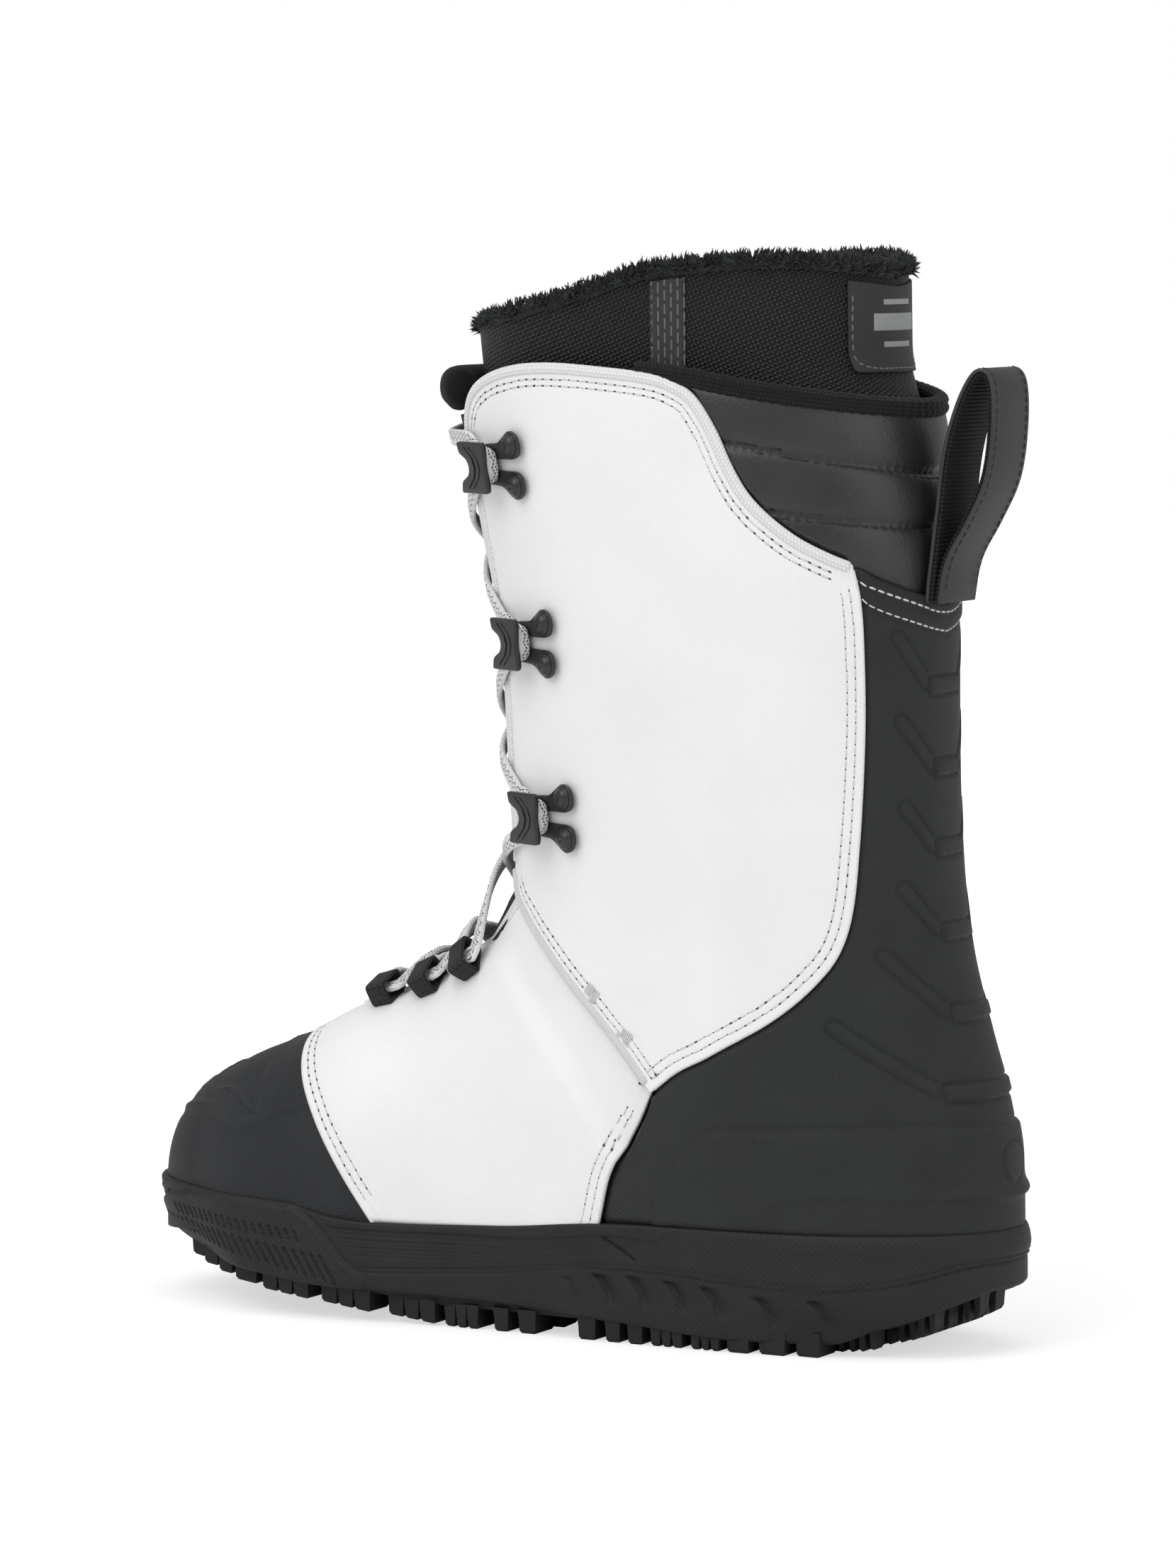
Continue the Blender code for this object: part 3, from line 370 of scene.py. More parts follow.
def add_mesh(name, points, faces, looks, sharp=None, picks=None, weld=1e-6, **floats):
    """A mesh from points and faces; floats are values at the points, and picks the look of each face."""
    mesh = bpy.data.meshes.new(name)
    faces = faces.tolist() if isinstance(faces, np.ndarray) else [list(map(int, f)) for f in faces]
    mesh.from_pydata(np.asarray(points, float).reshape(-1, 3).tolist(), [], faces)
    for key, values in floats.items():
        values = np.ravel(values).astype(np.float32)
        mesh.attributes.new(key, "FLOAT", "POINT").data.foreach_set("value", values)
    looks = looks if isinstance(looks, (list, tuple)) else [looks]
    for each in looks:
        mesh.materials.append(each)
    if picks is not None:
        mesh.polygons.foreach_set("material_index", np.asarray(picks, np.int32))
    bm = bmesh.new()
    bm.from_mesh(mesh)
    bmesh.ops.remove_doubles(bm, verts=bm.verts, dist=weld)
    bmesh.ops.recalc_face_normals(bm, faces=bm.faces)
    bm.to_mesh(mesh)
    bm.free()
    mesh.shade_smooth()
    if sharp:
        mesh.set_sharp_from_angle(angle=math.radians(sharp))
    made = bpy.data.objects.new(name, mesh)
    bpy.context.scene.collection.objects.link(made)
    return made


def surface_of(made):
    mesh = made.data
    return BVHTree.FromPolygons([v.co for v in mesh.vertices], [p.vertices[:] for p in mesh.polygons])


def settle(made, body, slot, *nodes, bend=None):
    """Says what a piece rides on and hides the CAD nodes that it stands for; slot, its finish, is not used."""
    if bend:
        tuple(bend[0])
        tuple(bend[1])
        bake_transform(made)
    else:
        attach(made, body)
    if nodes:
        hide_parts(*nodes)
    return made


def rolled_edge(distance, radius):
    """How far a rounded edge falls away at this distance inside it, in mm."""
    t = np.clip(1 - distance / radius, 0, 1)
    return radius * (1 - np.sqrt(1 - t * t))


PANEL_STEP, TURNED_UNDER = 1.7, 2.4     # of a leather panel's grid, and of its hidden rim, in mm


def leather_panel(name, chart, borders, relief, thick):
    """A white leather panel between four borders (bottom, top, left, right).

    relief(points, edges) gives the height of its outer face in mm; edges are the distances to the four
    borders. Its rim is rounded and turned under by a few millimetres.
    """
    shape = [even(chart(at(rounded(line), np.linspace(0, 1, 60))), 0.0007) for line in borders]
    size = [lengths(line)[-1] / MM for line in shape]
    us, vs = graded(max(size[:2]), PANEL_STEP), graded(max(size[2:]), PANEL_STEP)
    spots = coons(*borders, us, vs)
    base = chart(spots)
    edges = [distance_to(base, line) for line in shape]
    normals = unit(slope(base))
    face = relief(base, edges)
    height = face - rolled_edge(np.minimum.reduce(edges), 0.7)
    back = int(np.searchsorted(us * max(size[:2]), TURNED_UNDER))
    iu = np.concatenate([[back, 0], np.arange(len(us)), [len(us) - 1, len(us) - 1 - back]])
    iv = np.concatenate([[back, 0], np.arange(len(vs)), [len(vs) - 1, len(vs) - 1 - back]])
    outer = np.zeros((len(iu), len(iv)), bool)
    outer[:2] = outer[-2:] = True
    outer[:, :2] = outer[:, -2:] = True
    pick = np.ix_(iu, iv)
    height = np.where(outer, face[pick] - thick, height[pick])
    points = base[pick] + normals[pick] * height[..., None] * MM
    along, up = spots[pick][..., 0] * (1.3 if chart is around else 1), spots[pick][..., 1]
    return add_mesh(name, points, grid_faces(len(iu), len(iv)), WHITE, along=along, up=up)


def side_line(chart, spots, inset, side, trim=(0, 0)):
    """The line that runs inset mm inside an outline; side is 1 or -1 and says which way is inside."""
    line = even(chart(at(rounded(spots), np.linspace(0, 1, 220))), 0.0009)
    inward = np.cross(unit(slope(line)), unit(np.gradient(line, axis=0))) * side
    line = settled(line + inward * inset * MM)
    measure = lengths(line)
    keep = (measure >= trim[0] * MM) & (measure <= measure[-1] - trim[1] * MM)
    return line[keep]


def tube(name, line, out, profile, look, closed=False, taper=0):
    """A profile of (across, out) points in mm carried along a line; out is its outward direction there."""
    ahead = unit(np.gradient(line, axis=0) if not closed
                 else np.roll(line, -1, 0) - np.roll(line, 1, 0))
    across = unit(np.cross(ahead, out))
    out = np.cross(across, ahead)
    profile = np.asarray(profile, float)
    size = np.ones(len(line))
    if taper:
        ends = np.minimum(lengths(line), lengths(line)[-1] - lengths(line)) / (taper * MM)
        size = np.sqrt(1 - (1 - np.clip(ends, 0.03, 1)) ** 2)
    if profile.ndim == 2:
        profile = np.broadcast_to(profile, (len(line), *profile.shape))
    points = (line[:, None] + (across[:, None] * profile[..., :1] + out[:, None] * profile[..., 1:])
              * MM * size[:, None, None])
    n, k = points.shape[:2]
    faces = grid_faces(k, n, wrap=True)
    order = np.arange(n * k).reshape(n, k).T.ravel()
    faces = order[faces].tolist()
    if closed:
        faces += [[(n - 1) * k + j, j, (j + 1) % k, (n - 1) * k + (j + 1) % k] for j in range(k)]
    else:
        faces += [list(range(k)), list(range((n - 1) * k, n * k))]
    ring = np.linalg.norm(np.roll(profile[0], -1, 0) - profile[0], axis=1)
    measure = np.concatenate([[0], np.cumsum(ring)[:-1]])
    return add_mesh(name, points, faces, look,
                    along=np.repeat(lengths(line) / MM, k), up=np.tile(measure, n))


def oval(width, height, count):
    """A rounded profile."""
    turn = np.linspace(0, 2 * np.pi, count, endpoint=False)
    return np.stack([np.cos(turn) * width / 2, np.sin(turn) * height / 2], -1)


def band_profile(width, height, soft, count):
    """A flat band with rounded edges."""
    points = []
    for cx, a0 in ((1, -90), (-1, 90)):
        for a in np.linspace(a0, a0 + 180, count):
            points.append((cx * (width / 2 - height * soft) + height * soft * math.cos(math.radians(a)),
                           height / 2 * math.sin(math.radians(a))))
    return np.array(points)


# ---------------------------------------------------------------- looks
class Look:
    """A material's node tree, with short ways to add nodes. Sockets are named with capitals."""

    def __init__(self, name, colour, roughness, **sockets):
        self.material = bpy.data.materials.new(name)
        self.material.use_nodes = True
        self.tree = self.material.node_tree
        self.shader = self.tree.nodes["Principled BSDF"]
        self.put(self.shader, Base_Color=(*colour, 1), Roughness=roughness, **sockets)

    def put(self, node, **settings):
        for key, value in settings.items():
            if key[0].islower():
                setattr(node, key, value)
                continue
            socket = node.inputs[key.replace("_", " ")]
            if isinstance(value, bpy.types.NodeSocket):
                self.tree.links.new(value, socket)
            else:
                socket.default_value = value
        return node

    def add(self, kind, out=0, **settings):
        return self.put(self.tree.nodes.new("ShaderNode" + kind), **settings).outputs[out]

    def math(self, operation, *values):
        node = self.tree.nodes.new("ShaderNodeMath")
        node.operation = operation
        for socket, value in zip(node.inputs, values):
            if isinstance(value, bpy.types.NodeSocket):
                self.tree.links.new(value, socket)
            else:
                socket.default_value = value
        return node.outputs[0]

    def here(self):
        """Position in millimetres."""
        coords = self.add("TexCoord", "Object")
        return self.add("VectorMath", operation="SCALE", Vector=coords, Scale=1000.0)

    def value(self, name):
        return self.add("Attribute", "Fac", attribute_name=name)

    def noise(self, where, scale, detail, roughness=0.5):
        return self.add("TexNoise", "Fac", Vector=where, Scale=scale, Detail=detail, Roughness=roughness)

    def cells(self, where, scale):
        return self.add("TexVoronoi", "Distance", Vector=where, Scale=scale)

    def mix(self, one, share, other):
        """Two values mixed, with this share of the first."""
        return self.math("MULTIPLY_ADD", one, share, self.math("MULTIPLY", other, 1 - share))

    def spread(self, value, low, high, to_low=0.0, to_high=1.0):
        return self.add("MapRange", "Result", Value=value, From_Min=low, From_Max=high, To_Min=to_low,
                        To_Max=to_high)

    def tint(self, value, *stops):
        """A colour that follows a value; stops are (value, colour)."""
        node = self.tree.nodes.new("ShaderNodeValToRGB")
        ramp_points = node.color_ramp.elements
        while len(ramp_points) < len(stops):
            ramp_points.new(0.5)
        for point, (where, colour) in zip(ramp_points, stops):
            point.position, point.color = where, (*colour, 1)
        self.tree.links.new(value, node.inputs["Fac"])
        self.colour(node.outputs["Color"])

    def colour(self, socket):
        self.tree.links.new(socket, self.shader.inputs["Base Color"])

    def rough(self, value, low, high):
        self.tree.links.new(self.spread(value, 0.0, 1.0, low, high), self.shader.inputs["Roughness"])

    def relief(self, *layers):
        """Bump in millimetres: layers are (height socket, depth in mm)."""
        total = None
        for height, depth in layers:
            part = self.math("MULTIPLY", height, depth)
            total = part if total is None else self.math("ADD", total, part)
        bump = self.add("Bump", "Normal", Height=total, Distance=0.001, Strength=1.0)
        self.tree.links.new(bump, self.shader.inputs["Normal"])

    def waves(self, where_value, period):
        """A smooth ripple from 0 to 1 along a value in mm."""
        turn = self.math("MULTIPLY", where_value, 2 * math.pi / period)
        return self.math("MULTIPLY_ADD", self.math("SINE", turn), 0.5, 0.5)


def leather(name, light, dark, roughness, grain, depth):
    look = Look(name, light, roughness, Specular_IOR_Level=0.45)
    here = look.here()
    fine = look.cells(here, grain)
    patchy = look.noise(here, 0.035, 4.0)
    mottled = look.noise(here, 1.1, 3.0)
    look.tint(look.mix(mottled, 0.35, patchy), (0.32, dark), (0.68, light))
    look.rough(patchy, roughness - 0.05, roughness + 0.07)
    look.relief((fine, depth), (mottled, depth * 1.2))
    return look.material


WHITE = leather("white_leather", (0.84, 0.85, 0.845), (0.79, 0.80, 0.795), 0.46, 1.9, 0.035)
COLLAR = leather("black_leather", (0.031, 0.032, 0.0295), (0.017, 0.0175, 0.0165), 0.36, 1.25, 0.06)


def raw_edge():
    look = Look("leather_cut_edge", (0.80, 0.79, 0.76), 0.8)
    here = look.here()
    fibres = look.noise(here, 1.6, 5.0, 0.7)
    look.tint(fibres, (0.3, (0.62, 0.61, 0.57)), (0.62, (0.86, 0.85, 0.82)))
    look.relief((fibres, 0.35))
    return look.material


def rubber(name, light, dark, roughness, pitch=0.0, cross=False, depth=0.10, dimples=0.0):
    """Moulded rubber: fine slanting lines of this pitch in mm, crossed ones, or dimples."""
    look = Look(name, light, roughness, Specular_IOR_Level=0.3)
    here = look.here()
    soft = look.noise(here, 0.05, 4.0)
    grain = look.noise(here, 2.4, 2.0)
    layers = [(grain, 0.05)]
    tone = look.mix(grain, 0.3, soft)
    if pitch:
        along, up = look.value("along"), look.value("up")
        lines = look.waves(look.math("ADD", along, up), pitch * 1.414)
        if cross:
            crossing = look.waves(look.math("SUBTRACT", along, up), pitch * 1.414)
            lines = look.math("MINIMUM", lines, crossing)
        layers.append((lines, depth))
        # Painted shade: the rubber is made a little darker down in the grooves of its lines.
        tone = look.mix(lines, 0.22, tone)
    if dimples:
        pits = look.spread(look.cells(here, 1 / dimples), 0.1, 0.55)
        layers.append((pits, depth))
    look.tint(tone, (0.25, dark), (0.7, light))
    look.rough(soft, roughness - 0.06, roughness + 0.07)
    look.relief(*layers)
    return look.material


HEEL_RUBBER = rubber("heel_rubber", (0.024, 0.0255, 0.0265), (0.013, 0.014, 0.015), 0.58, pitch=0.95,
                     depth=0.13)
TOE_RUBBER = rubber("toe_rubber", (0.021, 0.0225, 0.0245), (0.012, 0.013, 0.0145), 0.58, dimples=1.15,
                    depth=0.15)
SOLE_RUBBER = rubber("sole_rubber", (0.020, 0.021, 0.0205), (0.010, 0.0105, 0.0105), 0.58, pitch=1.5,
                     cross=True, depth=0.12)
LUG_RUBBER = rubber("lug_rubber", (0.018, 0.019, 0.019), (0.009, 0.0095, 0.0095), 0.60)


def moulded(name, colour, roughness):
    """Smooth hard plastic or lacquer."""
    look = Look(name, colour, roughness, Coat_Weight=0.12, Coat_Roughness=0.3)
    here = look.here()
    soft, fine = look.noise(here, 0.22, 3.0), look.noise(here, 3.0, 2.0)
    look.tint(soft, (0.3, tuple(c * 0.8 for c in colour)), (0.7, tuple(min(1, c * 1.25) for c in colour)))
    look.rough(soft, roughness - 0.05, roughness + 0.08)
    look.relief((fine, 0.02))
    return look.material


PLASTIC = moulded("hook_plastic", (0.009, 0.0092, 0.0098), 0.30)
RIVET = moulded("rivet_coat", (0.012, 0.0122, 0.0128), 0.33)
TIP = moulded("lace_tip", (0.03, 0.03, 0.032), 0.3)


def metal():
    look = Look("steel", (0.55, 0.55, 0.56), 0.34, Metallic=1.0)
    brushed = look.noise(look.here(), 1.3, 5.0, 0.7)
    look.rough(brushed, 0.26, 0.44)
    look.relief((brushed, 0.02))
    return look.material


def binding(name, light, dark, period, depth=0.22, sheen=0.2):
    """Knitted edging: small rounded stitches in staggered rows."""
    look = Look(name, light, 0.75, Sheen_Weight=sheen, Specular_IOR_Level=0.25)
    along, up = look.value("along"), look.value("up")
    rows = look.waves(up, period)
    wales = look.waves(look.math("MULTIPLY_ADD", up, 0.5, along), period)
    knots = look.math("MULTIPLY", rows, wales)
    # The colour follows the stitches' relief: painted shade between the knots, the knot tops lighter.
    look.tint(knots, (0.05, dark), (0.5, light))
    look.relief((knots, depth), (look.noise(look.here(), 2.5, 3.0), 0.08))
    return look.material


WHITE_KNIT = binding("white_binding", (0.86, 0.87, 0.865), (0.66, 0.665, 0.66), 1.25)
WHITE_CORD = binding("white_cord_edge", (0.84, 0.85, 0.84), (0.60, 0.605, 0.60), 1.0, 0.3)


def woven(name, light, dark, period, depth, roughness=0.85, sheen=0.2):
    """A basket weave: threads over and under each other."""
    look = Look(name, light, roughness, Sheen_Weight=sheen, Specular_IOR_Level=0.3)
    along, up = look.value("along"), look.value("up")
    a, b = look.waves(along, period), look.waves(up, period)
    over_under = look.math("GREATER_THAN", look.math("MULTIPLY", look.waves(along, period * 2),
                                                     look.waves(up, period * 2)), 0.25)
    threads = look.math("ADD", look.math("MULTIPLY", a, over_under),
                        look.math("MULTIPLY", b, look.math("SUBTRACT", 1.0, over_under)))
    fuzz = look.noise(look.here(), 2.6, 4.0, 0.7)
    # The colour follows the weave's relief: painted shade where threads pass under, lighter where they lie on
    # top.
    look.tint(look.mix(threads, 0.7, fuzz), (0.15, dark), (0.75, light))
    look.relief((threads, depth), (fuzz, depth * 0.5))
    return look.material


def ribbed(name, light, dark, period, depth):
    """Tape with ribs across it."""
    look = Look(name, light, 0.75, Specular_IOR_Level=0.3)
    ribs = look.waves(look.value("along"), period)
    fuzz = look.noise(look.here(), 2.2, 4.0, 0.7)
    # Painted shade in the troughs between ribs: the colour follows their relief.
    look.tint(look.mix(ribs, 0.7, fuzz), (0.2, dark), (0.8, light))
    look.relief((ribs, depth), (fuzz, 0.1))
    return look.material


LOOP_WEB = woven("loop_webbing", (0.026, 0.0265, 0.028), (0.006, 0.006, 0.0065), 1.1, 0.22, 0.8, 0.05)
GROSGRAIN = ribbed("grosgrain", (0.016, 0.016, 0.0165), (0.003, 0.003, 0.003), 1.35, 0.45)
PATCH_FACE = leather("patch_face", (0.019, 0.0195, 0.0185), (0.012, 0.0125, 0.012), 0.58, 2.2, 0.03)
STRAP_FACE = leather("strap_face", (0.034, 0.036, 0.034), (0.023, 0.0245, 0.023), 0.58, 2.2, 0.03)


def knit_mesh():
    """Coarse black mesh: thread bars in staggered columns, painted lighter on their tops as sheen, with
    painted shade in the holes between.
    """
    look = Look("liner_mesh", (0.02, 0.02, 0.02), 0.5, Specular_IOR_Level=0.25)
    along, up = look.value("along"), look.value("up")
    slant = look.math("MULTIPLY_ADD", up, 0.55, along)
    thread = look.math("MULTIPLY", look.waves(slant, 2.1),
                       look.waves(look.math("MULTIPLY_ADD", along, -0.3, up), 1.4))
    other = look.waves(look.math("MULTIPLY_ADD", up, -0.55, along), 2.1)
    height = look.math("MULTIPLY_ADD", other, 0.35, thread)
    # The colour follows the height: painted shade down in the holes, painted sheen on the bar tops.
    look.tint(height, (0.12, (0.002, 0.002, 0.002)), (0.42, (0.006, 0.006, 0.006)),
              (0.95, (0.050, 0.050, 0.045)))
    look.relief((height, 0.55))
    return look.material


def napped(name, light, dark, clump, depth, sheen):
    """Brushed knit or fleece."""
    look = Look(name, light, 0.95, Sheen_Weight=sheen, Sheen_Roughness=0.4, Specular_IOR_Level=0.2)
    here = look.here()
    tufts, fine = look.noise(here, clump, 4.0, 0.6), look.noise(here, 4.0, 3.0, 0.7)
    look.tint(look.mix(fine, 0.35, tufts), (0.3, dark), (0.7, light))
    look.relief((tufts, depth), (fine, depth * 0.35))
    return look.material


MESH = knit_mesh()
TRIM = binding("black_knit", (0.013, 0.013, 0.014), (0.002, 0.002, 0.002), 1.3, 0.35, 0.05)
ROLL = napped("brushed_knit", (0.011, 0.011, 0.011), (0.003, 0.003, 0.003), 1.6, 0.3, 0.04)
FLEECE = napped("grey_fleece", (0.045, 0.048, 0.052), (0.010, 0.011, 0.012), 0.55, 1.2, 0.2)
HAIR = napped("grey_fur", (0.040, 0.043, 0.047), (0.007, 0.0075, 0.008), 0.35, 0.2, 0.15)
BOARD = woven("fibre_board", (0.48, 0.38, 0.27), (0.36, 0.28, 0.19), 0.9, 0.1)
LINING = woven("tongue_cloth", (0.016, 0.016, 0.016), (0.004, 0.004, 0.004), 0.95, 0.18, 0.8, 0.05)


DASH_COLUMN, DASH_PITCH = 3.2, 4.4          # of the tape's pattern, in millimetres
DASH_HALF_WIDTH, DASH_LENGTH = 0.13, 0.72   # as shares of those


def tape_look():
    """Black tape with staggered columns of grey dashes."""
    look = Look("reflective_tape", (0.02, 0.02, 0.02), 0.5)
    along, up = look.value("along"), look.value("up")
    column = look.math("FLOOR", look.math("DIVIDE", along, DASH_COLUMN))
    across = look.math("FRACT", look.math("DIVIDE", along, DASH_COLUMN))
    across = look.math("ABSOLUTE", look.math("SUBTRACT", across, 0.5))
    shift = look.math("MULTIPLY", look.math("MODULO", column, 2.0), 0.5)
    up_dash = look.math("FRACT", look.math("ADD", look.math("DIVIDE", up, DASH_PITCH), shift))
    mark = look.math("MULTIPLY", look.math("LESS_THAN", across, DASH_HALF_WIDTH),
                     look.math("LESS_THAN", up_dash, DASH_LENGTH))
    look.tint(mark, (0.0, (0.014, 0.014, 0.014)), (1.0, (0.105, 0.108, 0.108)))
    look.rough(mark, 0.6, 0.35)
    look.relief((mark, 0.12), (look.noise(look.here(), 2.0, 3.0), 0.08))
    return look.material


def lace_cloth():
    """Flat white braid with a pair of black zigzag tracers along one side."""
    look = Look("lace_braid", (0.82, 0.82, 0.81), 0.8, Sheen_Weight=0.2)
    along, up = look.value("along"), look.value("up")
    plait = look.math("MULTIPLY", look.waves(look.math("ADD", along, up), 1.3),
                      look.waves(look.math("SUBTRACT", along, up), 1.3))
    zigzag = look.math("PINGPONG", along, 1.9)
    marks = None
    for offset in (2.4, 4.0):
        band = look.math("ABSOLUTE", look.math("SUBTRACT", look.math("SUBTRACT", up, offset),
                                               look.math("MULTIPLY", zigzag, 0.7)))
        one = look.math("LESS_THAN", band, 0.3)
        marks = one if marks is None else look.math("MAXIMUM", marks, one)
    marks = look.math("MULTIPLY", marks, look.math("GREATER_THAN", look.waves(along, 0.95), 0.25))
    # Painted shade where the plaits dip; the black zigzag tracers are print.
    tone = look.math("SUBTRACT", look.spread(plait, 0.0, 0.6, 0.6, 1.0), marks)
    look.tint(tone, (0.0, (0.012, 0.012, 0.013)), (0.5, (0.70, 0.70, 0.69)), (1.0, (0.86, 0.86, 0.85)))
    look.relief((plait, 0.28))
    return look.material


def thread(name, light, dark):
    look = Look(name, light, 0.6)
    twist = look.noise(look.here(), 2.8, 2.0)
    look.tint(twist, (0.3, dark), (0.7, light))
    look.relief((twist, 0.08))
    return look.material


TAPE_LOOK = tape_look()
LACE = lace_cloth()
CUT_EDGE = raw_edge()
STEEL = metal()
WHITE_THREAD = thread("white_thread", (0.72, 0.72, 0.71), (0.50, 0.50, 0.49))
BLACK_THREAD = thread("black_thread", (0.016, 0.016, 0.0165), (0.006, 0.006, 0.006))
# Dark discs at the needle holes between stitches are painted shade: near-black, and dark grey on white
# leather.
HOLE_SHADE = thread("needle_hole_shade", (0.012, 0.012, 0.012), (0.004, 0.004, 0.004))
GREY_HOLE_SHADE = thread("needle_hole_shade_grey", (0.06, 0.06, 0.058), (0.025, 0.025, 0.025))
PATCH_BAR = thread("patch_print", (0.30, 0.31, 0.31), (0.22, 0.225, 0.225))
GREY_THREAD = thread("grey_thread", (0.20, 0.20, 0.195), (0.09, 0.09, 0.088))


# ---------------------------------------------------------------- outlines of the shell, as in the CAD source
SEAM_FRONT = ((84, 80), (71, 92), (62, 100), (49, 112), (38, 123), (30, 131), (23, 138), (18, 146))
SEAM_BACK = ((84, 80), (96, 87), (111, 93), (131, 103.5), (144, 116.5), (151, 132))
REAR_EDGE = ((64, 37.5), (67.5, 52), (73.5, 63), (78.5, 71), (82, 77.5))
QUARTER_FRONT = ((18, 146), (18, 175), (19, 197), (19, 217), (19, 236), (20, 254), (21.5, 273), (24, 287),
                 (28.5, 297.5))
QUARTER_TOP = ((28.5, 297.5), (35.5, 303.5), (45, 306.8), (56, 307.7), (70, 307), (91, 305), (101, 302),
               (107, 298), (113, 289), (118, 278), (123, 269), (129, 262), (137, 255), (145, 250), (151, 247))
QUARTER_REAR = SEAM_BACK + ((153.5, 160), (154.5, 193), (154, 220), (153, 236), (151, 247))
FAN_EDGE = 56
LAP, LAP_REACH = 3.3, (0.010, 0.030)
seam_places = np.array([[-111, 143], [-100, 114], [-66, 89], [-45, 80], [-15, 112], [15, 146]], float) * MM
seam_height = smooth_curve(seam_places[:, 0], seam_places[:, 1])
HEEL_BEND = ((0, 0, 0.058), (0.0064, 0, 0.122))


def lapped(points):
    """How far the lower panels dip here in mm, within reach of the cuff that laps over them."""
    x = points[..., 0]
    below = seam_height(x) - points[..., 2]
    reach = np.interp(x, (-0.066, -0.050), LAP_REACH)
    return -LAP * np.clip((reach - below) / 0.008, 0, 1)


def foot_spots(points):
    angle = np.degrees(np.arctan2(points[..., 2] - SOLE_TOP, points[..., 1]))
    return np.stack([points[..., 0] / MM, np.where(angle < -90, angle + 360, angle)], -1)


threads = {}


# mark is the radius in mm of the dark disc painted at each needle hole as its shade; 0 leaves it out.
def sew(key, line, host, pitch=3.4, length=2.5, radius=0.34, mark=0.56, sink=0.05):
    """Adds a row of stitches along a line, lying on a surface; key is (thread, hole shade, body, slot name).
    """
    where = np.arange(pitch / 2, lengths(line)[-1] / MM - length / 2, pitch) * MM
    measure = lengths(line)
    middle, a, b = (at(line, where + shift * MM, measure) for shift in (0, -length / 2, length / 2))
    threads.setdefault(key, []).append((middle, b - a, host, length, radius, mark, sink, pitch))


RINGS, SIDES = 5, 6


def capsule(length, radius):
    """Points and faces of one thread end to end along X, flattened a little."""
    xs = np.array([-1, -0.86, 0, 0.86, 1]) * length / 2
    rs = np.array([0.25, 0.85, 1, 0.85, 0.25]) * radius
    turn = np.linspace(0, 2 * np.pi, SIDES, endpoint=False)
    lift = np.array([-0.55, -0.1, 0.12, -0.1, -0.55]) * radius
    points = [(x, r * math.cos(t), 0.75 * r * math.sin(t) + h) for x, r, h in zip(xs, rs, lift) for t in turn]
    faces = []
    for i in range(RINGS - 1):
        low, high = i * SIDES, (i + 1) * SIDES
        faces += [(low + j, high + j, high + (j + 1) % SIDES, low + (j + 1) % SIDES) for j in range(SIDES)]
    faces += [tuple(range(SIDES)), tuple(range((RINGS - 1) * SIDES, RINGS * SIDES))]
    return np.array(points), faces


def finish_threads():
    """One mesh for each kind of thread on each body."""
    for number, (key, rows) in enumerate(threads.items()):
        thread_look, hole_shade_look, body, slot_name = key
        points, faces, picks, first = [], [], [], 0
        for middle, span, host, length, radius, mark, sink, pitch in rows:
            shape, shape_faces = capsule(length, radius)
            # a dark disc at each needle hole: painted shade of the hole
            disc = [(0, 0, 0.05)] + [(mark * 1.35 * math.cos(t), mark * math.sin(t) * 0.7, -0.03)
                                     for t in np.linspace(0, 2 * np.pi, 7)[:-1]]
            disc_faces = [(0, i, i % 6 + 1) for i in range(1, 7)]
            for m, d in zip(middle, span):
                spot, out, _, _ = host.find_nearest(Vector(m))
                if spot is None:
                    continue
                out = np.array(out)
                out = out * (1 if out @ unit(slope(m)) > 0 else -1)
                ahead = unit(d - out * (d @ out))
                axes = np.stack([ahead, np.cross(out, ahead), out])
                centre = np.array(spot) - out * sink * MM
                points.append(centre + shape @ axes * MM)
                faces += [[i + first for i in f] for f in shape_faces]
                picks += [0] * len(shape_faces)
                first += len(shape)
                if mark:
                    hole = np.array(disc) + (pitch / 2, 0, sink)
                    points.append(centre + hole @ axes * MM)
                    faces += [[i + first for i in f] for f in disc_faces]
                    picks += [1] * len(disc_faces)
                    first += len(disc)
        made = add_mesh(f"stitching_{number + 1}", np.concatenate(points), faces, [thread_look, hole_shade_look],
                        picks=picks, weld=1e-8)
        settle(made, body, slot_name)


BLACK_ON_CUFF = (BLACK_THREAD, HOLE_SHADE, "cuff", "black_leather")
WHITE_ON_SHELL = {body: (WHITE_THREAD, GREY_HOLE_SHADE, body, "white_cord") for body in ("lower_boot", "cuff")}


def edging(name, line, body, look, width=3.8, height=2.7, depth=-0.75):
    """Knitted edging rolled over the rim of a panel."""
    line = lifted(line, depth)
    made = tube(name, line, unit(slope(line)), oval(width, height, 14), look, taper=1.2)
    settle(made, body, "white_cord")


TACK_WIDTH, TACK_ROWS, TACK_PITCH = 5.0, 9, 0.62


def bar_tack(spot, chart, turn, host, key):
    """A block of close zigzag stitches."""
    p = chart(np.array(spot, float))
    out = unit(slope(p))
    up = unit(np.cross(out, np.cross((0, 0, 1.0), out)))
    across = np.cross(up, out)
    c, s = math.cos(math.radians(turn)), math.sin(math.radians(turn))
    ahead, side = across * c + up * s, up * c - across * s
    for k in range(TACK_ROWS):
        centre = p + side * (k - TACK_ROWS / 2) * TACK_PITCH * MM
        reach = ahead * TACK_WIDTH / 2 * MM
        threads.setdefault(key, []).append((centre[None], 2 * reach[None], host, TACK_WIDTH, 0.33, 0, 0.0, 1))


# ---------------------------------------------------------------- cuff quarters
CUT_RIM = band_profile(1.1, 1.5, 0.3, 4)
# rows of stitches, in mm from a panel's bound, sewn and overlapping edges
BOUND_SEAMS, SEWN_SEAMS, CUFF_SEAMS = (4.6, 6.6), (3.0, 5.8), (3.2, 5.4)


